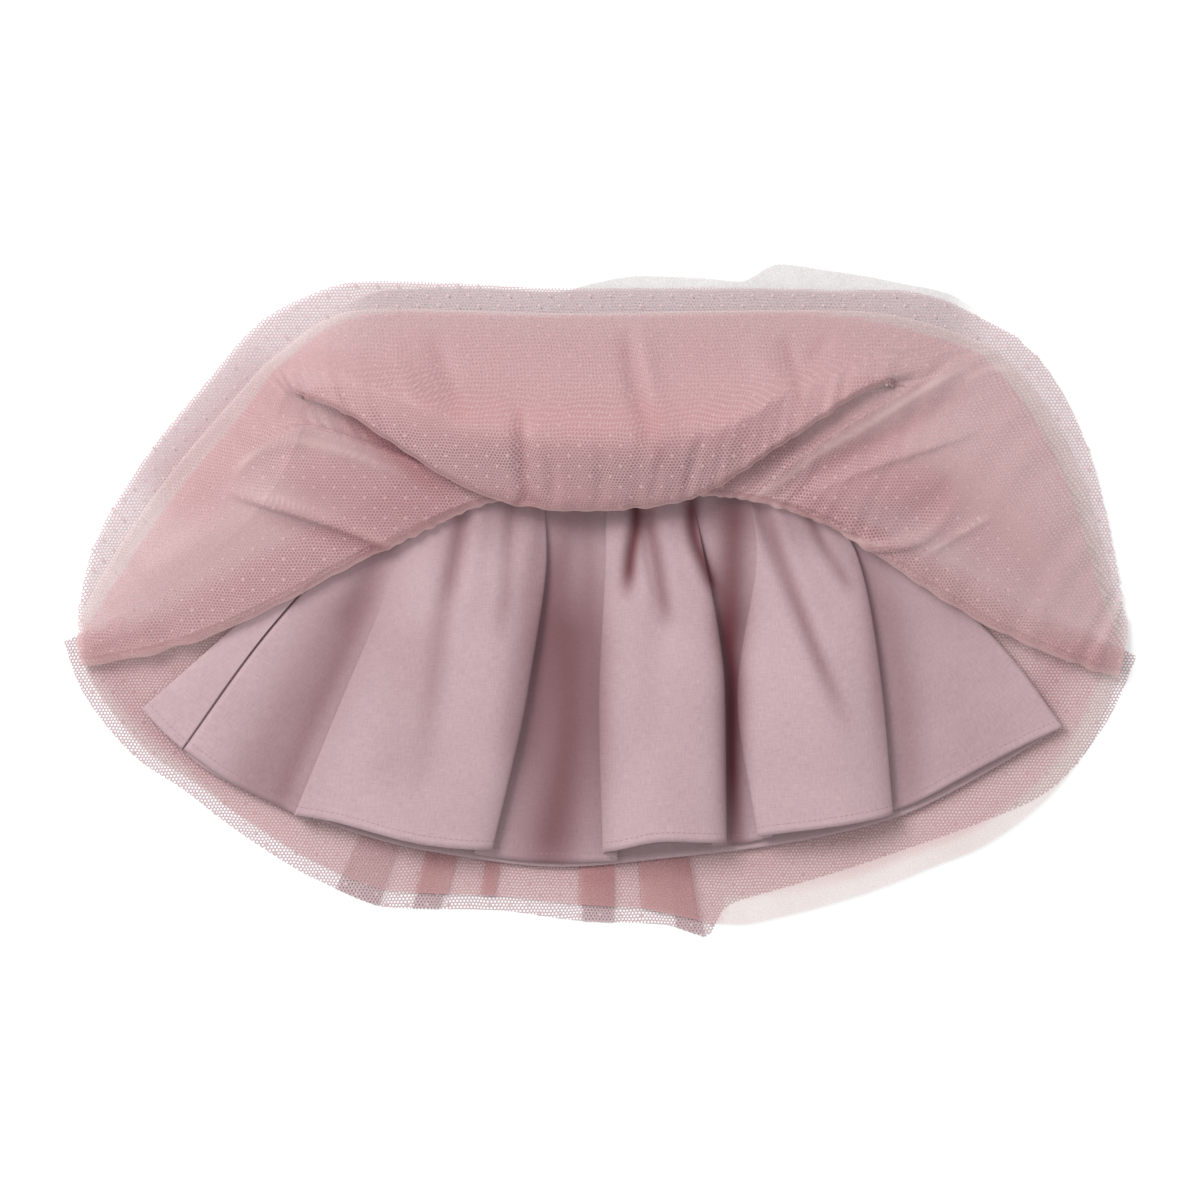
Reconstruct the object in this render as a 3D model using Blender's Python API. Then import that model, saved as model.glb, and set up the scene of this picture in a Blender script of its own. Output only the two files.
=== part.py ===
"""A child's tulle skirt laid flat on its back, with the front net and tulle turned up over the waist.

The skirt is a tube of four cloths under one elastic waistband: a gathered cotton lining, a fine tulle over
it, a dotted net over that, and a second fine tulle whose hem shows past the net. The back of each cloth lies
on the surface. The front lining lies on the back lining in deep pleats. The front net and tulle go down from
the waist, turn, and lie back up past the waistband, and in the middle they droop forward again in a flap.

Sizes are in millimetres in the tables and metres in the meshes. X runs along the waistband, Y runs from hem to
waist, Z is up from the surface that the skirt lies on.
"""

import bmesh
import bpy
import numpy as np

MM = 0.001

WAIST_HALF = 108.0  # half of the relaxed waistband, laid flat
SEAM_Y = 66.0  # where the cloths are gathered onto the band
BAND_HEIGHT = 27.5
BAND_DEPTH = 12.0
BAND_WALL = 3.5
SEAM_GAP = 0.3

COTTON = 1.2
TULLE = 1.0
LAYER_GAP = 0.5  # clear air between two layers
NET_MID_Z = 0.5
TULLE_MID_Z = 1.9
SHEER_THICKNESS = 0.7

FRONT_SEAM_Y = SEAM_Y + 2.0  # the front tulle is stitched onto the face of the band
FRONT_SEAM_Z = BAND_DEPTH + 1.1
FRONT_HEM_Z = 3.2
LEG_SHARE = 0.5  # how far down the hidden leg its middle section lies
SLOPE_SHARE = 0.5  # how far from the crown to the hem the slope section lies
SLOPE_RISE = 0.34  # what is left of the crown's height there
TURN_RADIUS = 2.5
TUCK_RADIUS = 2.0
EDGE_RADIUS = 4.0
NEIGHBOUR_SHARE = 0.32  # a rounded fold takes no more than this of the way to the next section
LEAST_AVERAGE = 0.6  # keeps a mitred offset short on the sharpest folds

# The front lining, from its left side seam to its right edge, a row for each crease. Each row is a line down
# the cloth: the waist seam, a quarter of the way down, two thirds down, and the hem.
LINING_COLUMNS = ("name", "seam", "upper", "middle", "hem")
LINING_FRONT = (
    ("side seam", (-108, 10.2), (-140, 30, 7.5), (-187, -24, 6.8), (-229, -82, 6.4)),
    ("left panel", (-101, 10.5), (-127, 29, 8.0), (-168, -35, 8.0), (-204, -100, 7.8)),
    ("left panel end", (-97, 10.4), (-117, 27, 7.9), (-152, -44, 6.2), (-180, -112, 5.8)),
    ("pleat one tuck", (-94, 10.4), (-111, 26, 8.6), (-134, -50, 7.8), (-159, -122, 7.6)),
    ("pleat one edge", (-91, 10.5), (-107, 26, 9.4), (-140, -49, 10.6), (-169, -118, 10.6)),
    ("pleat one rise", (-85, 11.0), (-99, 27, 11.0), (-124, -49, 14.0), (-148, -121, 14.0)),
    ("pleat one crown", (-68, 12.0), (-80, 31, 13.0), (-88, -54, 20.0), (-99, -134, 17.5)),
    ("pleat one fall", (-46, 12.0), (-50, 30, 13.0), (-57, -54, 18.0), (-68, -137, 15.5)),
    ("pleat one side", (-33, 11.5), (-29, 25, 12.0), (-42, -51, 13.0), (-59, -137, 11.5)),
    ("valley one tuck", (-29, 10.8), (-31, 25, 9.8), (-50, -53, 9.2), (-70, -139, 8.4)),
    ("valley one start", (-25, 10.4), (-27, 24, 7.6), (-40, -58, 6.2), (-56, -142, 5.6)),
    ("valley one floor", (-12, 10.2), (-12, 24, 7.2), (-19, -62, 5.8), (-27, -145, 5.5)),
    ("valley one end", (-2, 10.3), (3, 24, 7.6), (2, -62, 6.0), (3, -144, 5.6)),
    ("pleat two tuck", (1, 10.7), (6, 24, 9.6), (7, -60, 8.4), (10, -143, 8.2)),
    ("pleat two edge", (4, 11.2), (3, 24, 12.0), (-1, -58, 12.4), (1, -139, 11.6)),
    ("pleat two rise", (10, 12.0), (12, 25, 13.8), (11, -57, 18.0), (11, -137, 15.6)),
    ("pleat two crown", (23, 12.2), (27, 26, 14.6), (32, -55, 23.0), (35, -132, 20.0)),
    ("pleat two fall", (38, 12.0), (45, 26, 13.8), (57, -53, 20.5), (60, -133, 18.0)),
    ("pleat two side", (47, 11.4), (57, 26, 12.0), (69, -51, 13.6), (70, -133, 12.6)),
    ("valley two tuck", (51, 10.8), (55, 26, 9.8), (63, -52, 9.2), (61, -135, 8.8)),
    ("valley two start", (57, 10.4), (62, 25, 7.6), (69, -53, 6.2), (71, -135, 5.8)),
    ("valley two end", (72, 10.4), (84, 24, 7.6), (79, -53, 6.2), (88, -132, 5.8)),
    ("pleat three tuck", (77, 10.8), (88, 24, 9.6), (83, -53, 8.6), (95, -130, 8.4)),
    ("pleat three edge", (81, 11.3), (86, 24, 12.0), (75, -52, 12.6), (86, -130, 12.0)),
    ("pleat three rise", (85, 11.8), (95, 25, 13.0), (87, -53, 18.5), (98, -128, 16.0)),
    ("pleat three crown", (92, 12.0), (112, 25, 13.2), (117, -54, 22.0), (129, -124, 20.0)),
    ("pleat three fall", (97, 11.6), (131, 26, 12.4), (146, -50, 17.0), (156, -119, 16.0)),
    ("pleat three side", (99, 11.2), (140, 28, 12.0), (155, -48, 12.4), (161, -117, 11.6)),
    ("right panel tuck", (101, 10.8), (138, 27, 9.8), (149, -50, 9.0), (152, -117, 8.4)),
    ("right panel start", (103, 10.4), (143, 26, 8.2), (158, -50, 6.4), (166, -115, 5.8)),
    ("right panel", (105, 10.4), (156, 21, 8.4), (185, -46, 7.6), (197, -99, 7.6)),
    ("right panel end", (106.5, 10.3), (168, 18, 8.0), (209, -38, 7.4), (235, -79, 7.2)),
    ("right edge", (108, 10.2), (178, 16, 6.8), (225, -30, 5.8), (255, -70, 5.6)),
)

# The back lining, from the side seam that shows on top at the left, round the fold and across underneath.
# Each row gives its waist seam x, its middle x and y, its hem x and y, and its height.
LINING_BACK_COLUMNS = ("name", "seam", "middle", "hem", "height")
LINING_BACK = (
    ("side seam", -109, (-188.5, -24), (-230.5, -82), 6.7),
    ("wrap", -110.5, (-200, -24), (-241, -72), 6.5),
    ("fold", -111.5, (-209, -22), (-252, -60), 5.0),
    ("under", -110, (-202, -26), (-243, -68), 3.4),
    ("left", -104, (-178, -36), (-222, -90), 3.4),
    ("left middle", -84, (-140, -54), (-170, -116), 3.4),
    ("middle left", -50, (-75, -64), (-97, -138), 3.4),
    ("middle", -8, (-14, -70), (-22, -147), 3.4),
    ("middle right", 34, (38, -68), (39, -142), 3.4),
    ("right middle", 66, (84, -64), (97, -135), 3.4),
    ("right", 90, (130, -58), (160, -121), 3.4),
    ("right end", 103, (184, -44), (220, -91), 3.4),
    ("right edge", 108, (224, -29), (254, -70), 3.4),
)

# The hems of the back net, the back tulle and the sheer tulle that shows past the front net.
BACK_NET_HEM = (
    (-296, -23), (-288, -46), (-276, -65), (-255, -88), (-231, -104), (-198, -129), (-155, -155),
    (-113, -170), (-60, -171), (-11, -177), (34, -179), (58, -185.5), (70, -169), (97, -160),
    (131, -150), (170, -137), (209, -123), (245, -107), (271, -80), (286, -55), (296, -31),
)  # fmt: skip
BACK_TULLE_HEM = (
    (-289, -23), (-281, -44), (-269, -62), (-249, -84), (-226, -99), (-194, -122), (-152, -147),
    (-111, -161), (-60, -163), (-11, -168), (34, -171), (60, -178), (78, -179), (103, -174),
    (130, -167), (160, -157), (184, -147), (209, -137), (245, -111), (269, -80), (290, -31),
)  # fmt: skip
SHEER_HEM = (
    (-150, 148), (-118, 162), (-80, 167), (-26, 168), (-4, 175), (22, 179), (55, 178), (77, 176),
    (99, 185.5), (126, 182), (146, 179), (166, 175), (190, 170), (214, 157),
)  # fmt: skip
SHEER_INNER_Y = 100.0  # it goes in under the net as far as this, short of the waistband

# The front tulle, from the left corner to the right corner, a row for each line up the cloth. Past the waist
# seam it goes down to the turn, up over the crest, into the tuck, back to the edge of the flap, and over the
# crown to the hem. At the two sides there is no flap, and those sections lie in line. The last column is how
# far the net's hem passes the tulle's.
FRONT_COLUMNS = ("name", "seam", "turn", "crest", "tuck", "edge", "crown", "hem", "net_past")
FRONT = (
    ("left corner", -107, (-286, -37, 6), (-287, -30, 8.5), (-288, -25, 7.5), (-288, -21, 6.5),
     (-288, -17, 5.5), (-288, -11), 7),
    ("left low", -104, (-235, -28, 9.5), (-243, -12, 12), (-251, 0, 10.5), (-258, 9, 8.5),
     (-264, 16, 6), (-270, 22), 14),
    ("left side", -98, (-176, -3, 12), (-188, 20, 15), (-199, 36, 14), (-210, 50, 11.5),
     (-223, 63, 7.5), (-235, 73), 17),
    ("left puff", -90, (-132, 21, 14), (-150, 52, 19), (-168, 78, 20), (-181, 93, 14),
     (-190, 103, 9), (-200, 113), 18),
    ("flap start", -84, (-110, 31, 16), (-144, 78, 21), (-162, 106, 16), (-172, 116, 15),
     (-179, 124, 12), (-184, 131), 20),
    ("flap shoulder", -78, (-93, 39, 16.5), (-128, 79, 20.5), (-151, 117, 17), (-161, 110, 22),
     (-168, 127, 18), (-173, 139), 22),
    ("flap upper edge", -70, (-77, 47, 17), (-108, 75, 20), (-130, 116, 18.5), (-142, 104, 25.5),
     (-151, 126, 22), (-154, 154), 17),
    ("flap edge", -60, (-60, 53, 17.5), (-86, 69, 20), (-98, 102, 20.5), (-110, 83, 27.5),
     (-120, 113, 28), (-129, 161), 16),
    ("flap corner", -42, (-36, 57, 17.5), (-46, 71, 20.5), (-52, 93, 22), (-60, 54, 27),
     (-68, 90, 35), (-82, 160), 16),
    ("lip left", -12, (-12, 58, 17.5), (-12, 71, 20.5), (-12, 89, 22), (-18, 48, 26.5),
     (-20, 84, 37), (-24, 158), 14),
    ("lip middle", 18, (15, 58, 17.5), (15, 71, 20.5), (15, 88, 22), (14, 49, 26.5),
     (18, 83, 37), (35, 159), 14),
    ("lip right", 44, (40, 58, 17.5), (42, 71, 20.5), (44, 89, 22), (44, 53, 26.5),
     (51, 86, 36), (88, 160), 14),
    ("right flap corner", 56, (57, 57, 17.5), (63, 70, 20.5), (68, 93, 21.5), (66, 62, 27),
     (75, 95, 33.5), (124, 160), 14),
    ("right flap edge", 66, (72, 56, 17.5), (88, 68, 20), (87, 98, 20.5), (92, 80, 27),
     (98, 108, 29), (149, 159), 18),
    ("right upper edge", 76, (92, 52, 18), (112, 74, 20.5), (115, 110, 18.5), (119, 97, 25.5),
     (125, 120, 24), (172, 155), 20),
    ("right shoulder", 86, (114, 45, 18.5), (138, 84, 21), (143, 123, 17), (146, 115, 22),
     (152, 133, 18), (192, 149), 19),
    ("right flap end", 92, (140, 33, 18), (166, 90, 20), (176, 113, 16), (183, 124, 14),
     (190, 134, 11), (215, 140), 18),
    ("right puff", 97, (165, 15, 16.5), (192, 74, 19), (206, 96, 15), (217, 107, 12),
     (227, 114, 8), (238, 119), 13),
    ("right side", 102, (213, -15, 12), (228, 18, 14.5), (240, 37, 12.5), (250, 49, 10),
     (259, 58, 7), (267, 66), 10),
    ("right low", 105, (255, -33, 9), (263, -18, 10.5), (268, -8, 9.5), (273, -1, 8),
     (277, 4, 6), (281, 9), 8),
    ("right corner", 107, (285, -43, 6), (287, -36, 8.5), (288, -31, 7.5), (289, -27, 6.5),
     (290, -23, 5.5), (290, -17), 6),
)  # fmt: skip

COLOURS = {
    "cotton": (0.56, 0.40, 0.42, 1.0),
    "tulle": (0.55, 0.33, 0.34, 1.0),
    "net": (0.60, 0.38, 0.39, 1.0),
    "elastic": (0.58, 0.42, 0.44, 1.0),
}


def clear_scene():
    for existing in list(bpy.data.objects):
        bpy.data.objects.remove(existing, do_unlink=True)


def material(name, finish, roughness):
    made = bpy.data.materials.new(name)
    made.use_nodes = True
    shader = made.node_tree.nodes["Principled BSDF"]
    shader.inputs["Base Color"].default_value = COLOURS[finish]
    shader.inputs["Roughness"].default_value = roughness
    shader.inputs["Metallic"].default_value = 0.0
    return made


def named_rows(columns, table):
    """The rows of a table as dictionaries."""
    return [dict(zip(columns, row)) for row in table]


def slopes_through(points):
    """The slope at each point of a smooth line through them, flat where a coordinate turns back."""
    steps = np.diff(points, axis=0)
    before = steps[:-1]
    after = steps[1:]
    total = np.where(before + after == 0, 1.0, before + after)
    inner = np.where(before * after > 0, 2 * before * after / total, 0.0)
    return np.concatenate([steps[:1], inner, steps[-1:]])


def between_rows(points, steps):
    """A grid with this many steps between each of its rows and the next, on smooth lines through them."""
    points = np.asarray(points, float)
    slopes = slopes_through(points)
    rows = []
    for index in range(len(points) - 1):
        for step in range(steps):
            t = step / steps
            start_weight = 2 * t**3 - 3 * t**2 + 1
            end_weight = 3 * t**2 - 2 * t**3
            start_slope = (t**3 - 2 * t**2 + t) * slopes[index]
            end_slope = (t**3 - t**2) * slopes[index + 1]
            ends = start_weight * points[index] + end_weight * points[index + 1]
            rows.append(ends + start_slope + end_slope)
    rows.append(points[-1])
    return np.array(rows)


def along(grid, steps):
    """The same, along each line of the cloth in place of across."""
    return between_rows(grid.transpose(1, 0, 2), steps).transpose(1, 0, 2)


def mitres(grid):
    """At each point the offset that moves every face around it by one unit."""
    across = np.diff(grid, axis=0)
    down = np.diff(grid, axis=1)
    total = np.zeros_like(grid)
    count = np.zeros(grid.shape[:2])
    columns, rows = grid.shape[:2]
    for first in (0, 1):
        for second in (0, 1):
            normals = np.cross(
                across[:, second : rows - 1 + second], down[first : columns - 1 + first, :]
            )
            lengths = np.linalg.norm(normals, axis=2, keepdims=True)
            normals = normals / np.maximum(lengths, 1e-9)
            for u in (0, 1):
                for v in (0, 1):
                    total[u : columns - 1 + u, v : rows - 1 + v] += normals
                    count[u : columns - 1 + u, v : rows - 1 + v] += 1
    average = total / count[..., None]
    size = np.linalg.norm(average, axis=2, keepdims=True)
    direction = average / np.maximum(size, 1e-9)
    return direction / np.maximum(size, LEAST_AVERAGE)


def wall(name, upper, lower, finish):
    """A closed solid between two grids of points in millimetres."""
    columns, rows = upper.shape[:2]
    points = np.concatenate([upper.reshape(-1, 3), lower.reshape(-1, 3)]) * MM
    under = columns * rows
    faces = []
    for u in range(columns - 1):
        for v in range(rows - 1):
            a = u * rows + v
            b = a + rows
            faces.append((a, b, b + 1))
            faces.append((a, b + 1, a + 1))
            faces.append((under + a, under + b + 1, under + b))
            faces.append((under + a, under + a + 1, under + b + 1))
    rim = [u * rows for u in range(columns)]
    rim += [(columns - 1) * rows + v for v in range(1, rows)]
    rim += [u * rows + rows - 1 for u in range(columns - 2, -1, -1)]
    rim += list(range(rows - 2, 0, -1))
    for here, there in zip(rim, rim[1:] + rim[:1]):
        faces.append((here, under + here, under + there))
        faces.append((here, under + there, there))
    mesh = bpy.data.meshes.new(name)
    mesh.from_pydata(points.tolist(), [], faces)
    made = bmesh.new()
    made.from_mesh(mesh)
    bmesh.ops.recalc_face_normals(made, faces=made.faces)
    made.to_mesh(mesh)
    made.free()
    mesh.shade_smooth()
    piece = bpy.data.objects.new(name, mesh)
    mesh.materials.append(material(name, finish, 0.9))
    bpy.context.scene.collection.objects.link(piece)
    return piece


def sheet(name, grid, thickness, finish):
    """A cloth of even thickness about a grid of points."""
    half = mitres(grid) * thickness / 2
    return wall(name, grid + half, grid - half, finish)


def level(grid, height):
    """A grid moved to one height."""
    flat = grid.copy()
    flat[..., 2] = height
    return flat


def lining_front():
    """The gathered cotton lining, front: three deep pleats between two plain panels."""
    lines = []
    for row in named_rows(LINING_COLUMNS, LINING_FRONT):
        x, z = row["seam"]
        lines.append(((x, SEAM_Y - SEAM_GAP, z), row["upper"], row["middle"], row["hem"]))
    grid = along(between_rows(lines, 2), 2)
    return sheet("lining_front", grid, COTTON, "cotton")


def lining_back():
    """The back of the lining, which wraps over at the left as far as the side seam."""
    lines = []
    for row in named_rows(LINING_BACK_COLUMNS, LINING_BACK):
        seam_z = min(row["height"], 5.0)
        lines.append(
            (
                (row["seam"], SEAM_Y, seam_z),
                (*row["middle"], row["height"]),
                (*row["hem"], row["height"]),
            )
        )
    lines = np.array(lines, float)
    lines[0, 0, 2] = 6.6
    lines[1, 0, 2] = 6.2
    grid = between_rows(lines, 2)
    return sheet("lining_back", grid, COTTON, "cotton")


def fan(hem, sections):
    """Straight lines from the gathered waist seam out to a hem, in this many sections."""
    hem = np.array(hem, float)
    share = np.linspace(0, 1, len(hem))
    seam = np.stack([(2 * share - 1) * WAIST_HALF, np.full(len(hem), SEAM_Y)], axis=1)
    steps = np.linspace(0, 1, sections + 1)[None, :, None]
    flat = seam[:, None] * (1 - steps) + hem[:, None] * steps
    return np.concatenate([flat, np.zeros((*flat.shape[:2], 1))], axis=2)


def back_layers():
    """The dotted net on the surface, and the fine tulle on it."""
    for name, hem, middle, finish in (
        ("net_back", BACK_NET_HEM, NET_MID_Z, "net"),
        ("tulle_back", BACK_TULLE_HEM, TULLE_MID_Z, "tulle"),
    ):
        grid = fan(hem, 3)
        wall(name, level(grid, middle + TULLE / 2), level(grid, middle - TULLE / 2), finish)


def horizontal(step):
    """A step's direction across the surface and its length there."""
    length = np.hypot(step[0], step[1])
    return np.array([step[0], step[1], 0.0]) / length, length


def rounded(before, fold, after, radius, least_doubled=0.0):
    """A fold as three points: a rounded turn where the cloth doubles back, and a plain run where it doesn't."""
    back, back_length = horizontal(before - fold)
    on, on_length = horizontal(after - fold)
    doubled = max(least_doubled, (1 + back @ on) / 2)
    reach_back = min(radius, NEIGHBOUR_SHARE * back_length)
    reach_on = min(radius, NEIGHBOUR_SHARE * on_length)
    under = fold + back * reach_back
    over = fold + on * reach_on
    plain_under = fold[2] + (before[2] - fold[2]) * reach_back / back_length
    plain_over = fold[2] + (after[2] - fold[2]) * reach_on / on_length
    under[2] = plain_under * (1 - doubled) + (fold[2] - radius) * doubled
    over[2] = plain_over * (1 - doubled) + (fold[2] + radius) * doubled
    return [under, fold, over]


def front_lines():
    """The front tulle's sections, seam to hem, for each row of its table."""
    lines = []
    for row in named_rows(FRONT_COLUMNS, FRONT):
        seam = np.array([row["seam"], FRONT_SEAM_Y, FRONT_SEAM_Z])
        turn, crest, tuck, edge, crown = (
            np.array(row[key], float) for key in ("turn", "crest", "tuck", "edge", "crown")
        )
        hem = np.array([*row["hem"], FRONT_HEM_Z])
        hem[2] = min(hem[2] + max(0.0, -row["hem"][1]) * 0.1, crown[2])
        leg = seam + (turn - seam) * LEG_SHARE
        leg[2] = seam[2] + (turn[2] - TURN_RADIUS - seam[2]) * LEG_SHARE
        slope = crown + (hem - crown) * SLOPE_SHARE
        slope[2] = hem[2] + (crown[2] - hem[2]) * SLOPE_RISE
        line = [seam, leg]
        line += rounded(leg, turn, crest, TURN_RADIUS, least_doubled=1.0)
        line += [crest]
        line += rounded(crest, tuck, edge, TUCK_RADIUS)
        line += rounded(tuck, edge, crown, EDGE_RADIUS)
        line += [crown, slope, hem]
        lines.append(line)
    return np.array(lines)


def front_layers():
    """The turned-up front: the fine tulle outside the turn, and the dotted net inside it."""
    grid = between_rows(front_lines(), 2)
    sheet("tulle_front", grid, TULLE, "tulle")
    inward = grid - mitres(grid) * (TULLE + LAYER_GAP)
    past = np.array([row["net_past"] for row in named_rows(FRONT_COLUMNS, FRONT)], float)
    past = between_rows(past[:, None], 2)
    outward = grid[:, -1] - grid[:, -2]
    outward[:, 2] = 0
    outward /= np.linalg.norm(outward, axis=1, keepdims=True)
    hem = inward[:, -1] + outward * past
    net = np.concatenate([inward, hem[:, None]], axis=1)
    sheet("net_front", net, TULLE, "net")


def sheer_rim():
    """The hem of the second fine tulle, flat under the front net and past it at the top and right."""
    outer = np.array(SHEER_HEM, float)
    inner = np.stack([outer[:, 0], np.full(len(outer), SHEER_INNER_Y)], axis=1)
    flat = np.stack([inner, outer], axis=1)
    grid = np.concatenate([flat, np.zeros((*flat.shape[:2], 1))], axis=2)
    wall("sheer_front", level(grid, SHEER_THICKNESS), level(grid, 0.0), "tulle")


def waistband():
    """The elastic casing, a flattened ring open at both edges."""
    outer_radius = BAND_DEPTH / 2
    inner_radius = outer_radius - BAND_WALL
    arc = np.linspace(-np.pi / 2, np.pi / 2, 7)
    rings = []
    for radius in (outer_radius, inner_radius):
        ring = []
        for side in (1, -1):
            for angle in arc:
                x = side * (WAIST_HALF - outer_radius + radius * np.cos(angle))
                z = outer_radius + side * radius * np.sin(angle)
                ring.append((x, z))
        rings.append(np.array(ring))
    low = SEAM_Y + SEAM_GAP
    high = low + BAND_HEIGHT
    count = len(rings[0])
    points = []
    for ring, y in ((rings[0], low), (rings[0], high), (rings[1], high), (rings[1], low)):
        points += [(x * MM, y * MM, z * MM) for x, z in ring]
    faces = []
    for loop in range(4):
        for index in range(count):
            here = loop * count + index
            beside = loop * count + (index + 1) % count
            there = (loop + 1) % 4 * count + index
            there_beside = (loop + 1) % 4 * count + (index + 1) % count
            faces.append((here, beside, there_beside, there))
    mesh = bpy.data.meshes.new("waistband")
    mesh.from_pydata(points, [], faces)
    made = bmesh.new()
    made.from_mesh(mesh)
    bmesh.ops.recalc_face_normals(made, faces=made.faces)
    made.to_mesh(mesh)
    made.free()
    mesh.materials.append(material("waistband", "elastic", 0.85))
    piece = bpy.data.objects.new("waistband", mesh)
    bpy.context.scene.collection.objects.link(piece)
    return piece


clear_scene()
back_layers()
lining_back()
lining_front()
waistband()
front_layers()
sheer_rim()
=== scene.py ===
"""The looks of a child's tulle skirt, laid flat on its back with its front net and tulle turned up."""

import math

import bpy
import numpy as np
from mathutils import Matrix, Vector


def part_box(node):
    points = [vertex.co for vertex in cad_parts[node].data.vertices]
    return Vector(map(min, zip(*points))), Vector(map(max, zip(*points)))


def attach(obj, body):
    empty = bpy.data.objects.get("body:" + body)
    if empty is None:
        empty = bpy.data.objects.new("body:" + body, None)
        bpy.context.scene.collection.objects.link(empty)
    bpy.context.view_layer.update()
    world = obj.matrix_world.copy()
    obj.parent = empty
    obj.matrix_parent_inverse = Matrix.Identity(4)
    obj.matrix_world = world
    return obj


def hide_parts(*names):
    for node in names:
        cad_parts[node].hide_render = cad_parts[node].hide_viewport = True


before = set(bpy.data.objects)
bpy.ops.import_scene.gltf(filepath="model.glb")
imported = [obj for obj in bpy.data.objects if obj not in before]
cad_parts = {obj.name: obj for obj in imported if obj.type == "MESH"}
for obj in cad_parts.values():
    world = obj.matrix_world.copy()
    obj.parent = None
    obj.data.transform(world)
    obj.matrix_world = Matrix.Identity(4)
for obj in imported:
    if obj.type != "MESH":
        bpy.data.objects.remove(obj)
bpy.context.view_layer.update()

# ------------------------------------------------------------------------------------------------------
# The surface, the light and the camera. The skirt lies on a white painted board in a light tent: an even
# white glow all round, with a softbox from the upper left. The camera looks straight down, from far off.
# ------------------------------------------------------------------------------------------------------
MM = 0.001
FIELD = 660 * MM
LENS = 120.0
SENSOR = 36.0
CAMERA_HEIGHT = FIELD * LENS / SENSOR + 8 * MM
TENT_GLOW = 0.7
SOFTBOX_PLACE = Vector((-1.7, 1.7, 2.5))
SOFTBOX_SIDE = 1.6
SOFTBOX_POWER = 105.0
BOARD_SIDE = 8.0
BOARD_DROP = 0.2 * MM


def linear(hex_colour):
    """A colour written as sRGB hex, as the linear values that a shader takes."""
    parts = [int(hex_colour[at : at + 2], 16) / 255 for at in (1, 3, 5)]
    return [p / 12.92 if p <= 0.04045 else ((p + 0.055) / 1.055) ** 2.4 for p in parts] + [1.0]


def add(tree, kind, inputs=None, **settings):
    """Adds a node with its settings; each input is given a value, or the output that feeds it."""
    made = tree.nodes.new(kind)
    for name, value in settings.items():
        setattr(made, name, value)
    for socket, value in (inputs or {}).items():
        if isinstance(value, bpy.types.NodeSocket):
            tree.links.new(value, made.inputs[socket])
        else:
            made.inputs[socket].default_value = value
    return made


def finish(name):
    """A new material with a Principled shader, its node tree and that shader."""
    made = bpy.data.materials.new(name)
    made.use_nodes = True
    return made, made.node_tree, made.node_tree.nodes["Principled BSDF"]


# White matt paint: even, with no gloss, so that the board reads as plain white.
board_paint, _, board_shader = finish("white matt paint")
board_shader.inputs["Base Color"].default_value = linear("#f4f4f4")
board_shader.inputs["Roughness"].default_value = 0.95
board_shader.inputs["Specular IOR Level"].default_value = 0.0

board_mesh = bpy.data.meshes.new("board")
half = BOARD_SIDE / 2
board_corners = [(x * half, y * half, -BOARD_DROP) for x, y in ((-1, -1), (1, -1), (1, 1), (-1, 1))]
board_mesh.from_pydata(board_corners, [], [(0, 1, 2, 3)])
board_mesh.materials.append(board_paint)
board = bpy.data.objects.new("board", board_mesh)

world = bpy.data.worlds.new("light tent")
world.use_nodes = True
world.node_tree.nodes["Background"].inputs["Color"].default_value = (1.0, 1.0, 1.0, 1.0)
world.node_tree.nodes["Background"].inputs["Strength"].default_value = TENT_GLOW

lamp = bpy.data.lights.new("softbox", "AREA")
lamp.shape = "SQUARE"
lamp.size = SOFTBOX_SIDE
lamp.energy = SOFTBOX_POWER
softbox = bpy.data.objects.new("softbox", lamp)
softbox.location = SOFTBOX_PLACE
softbox.rotation_euler = (-SOFTBOX_PLACE).to_track_quat("-Z", "Y").to_euler()

lens = bpy.data.cameras.new("camera")
lens.lens = LENS
lens.sensor_width = SENSOR
lens.clip_end = 20.0
camera = bpy.data.objects.new("camera", lens)
camera.location = (0.0, 0.0, CAMERA_HEIGHT)

scene = bpy.context.scene
scene.world = world
for thing in (board, softbox, camera):
    scene.collection.objects.link(thing)
scene.camera = camera
scene.view_settings.view_transform = "Standard"
scene.cycles.transparent_max_bounces = 40

# ------------------------------------------------------------------------------------------------------
# The back net: a hexagonal bobbin net of nylon with flocked dots, gathered onto the waist and lying on the
# surface. Its hem is cut raw, and a few pleats lie pressed flat in it, where the net is three deep. The dots
# are spots of nylon flock glued on in staggered rows: pale on the pink layers, dark on the white surface.
# ------------------------------------------------------------------------------------------------------
WAIST_HALF = 108.0
SEAM_Y = 66.0
HOLE = 1.9 * MM  # from the middle of one hole to the next
THREAD_SHARE = 0.17  # of a hole's width taken by each of its threads
SLANT = (0.75, 0.6)  # the net's repeat moves on by this much of each rise, so that layers don't line up
NET_BACK_Z = 0.15
SIDE_SHARE = 0.035  # of the width, over which the hidden side edges are thinned so that they don't show
FOLD_STEP = 0.33  # from one layer of a pressed pleat to the next
COLUMN_STEP = 3.0  # from one line of the cloth to the next, measured at the hem
BACK_NET_HEM = (
    (-296, -23), (-288, -46), (-276, -65), (-255, -88), (-231, -104), (-198, -129), (-155, -155),
    (-113, -170), (-60, -171), (-11, -177), (34, -179), (58, -185.5), (70, -169), (97, -160),
    (131, -150), (170, -137), (209, -123), (245, -107), (271, -80), (286, -55), (296, -31),
)  # fmt: skip
BACK_NET_PLEATS = ((-146, -122), (-104, -88), (-10, 8), (42, 58))  # left, right
DOT_APART = 11.2 * MM  # along a row; every second row is halfway between two others and shifted by half
DOT_WIDTH = 1.7 * MM
DOT_HEIGHT = 0.3 * MM
FIELD_WIDTH = 640 * MM
FIELD_HEIGHT = 420 * MM
DROP_FROM = 100 * MM  # the height that the dots fall from


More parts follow.
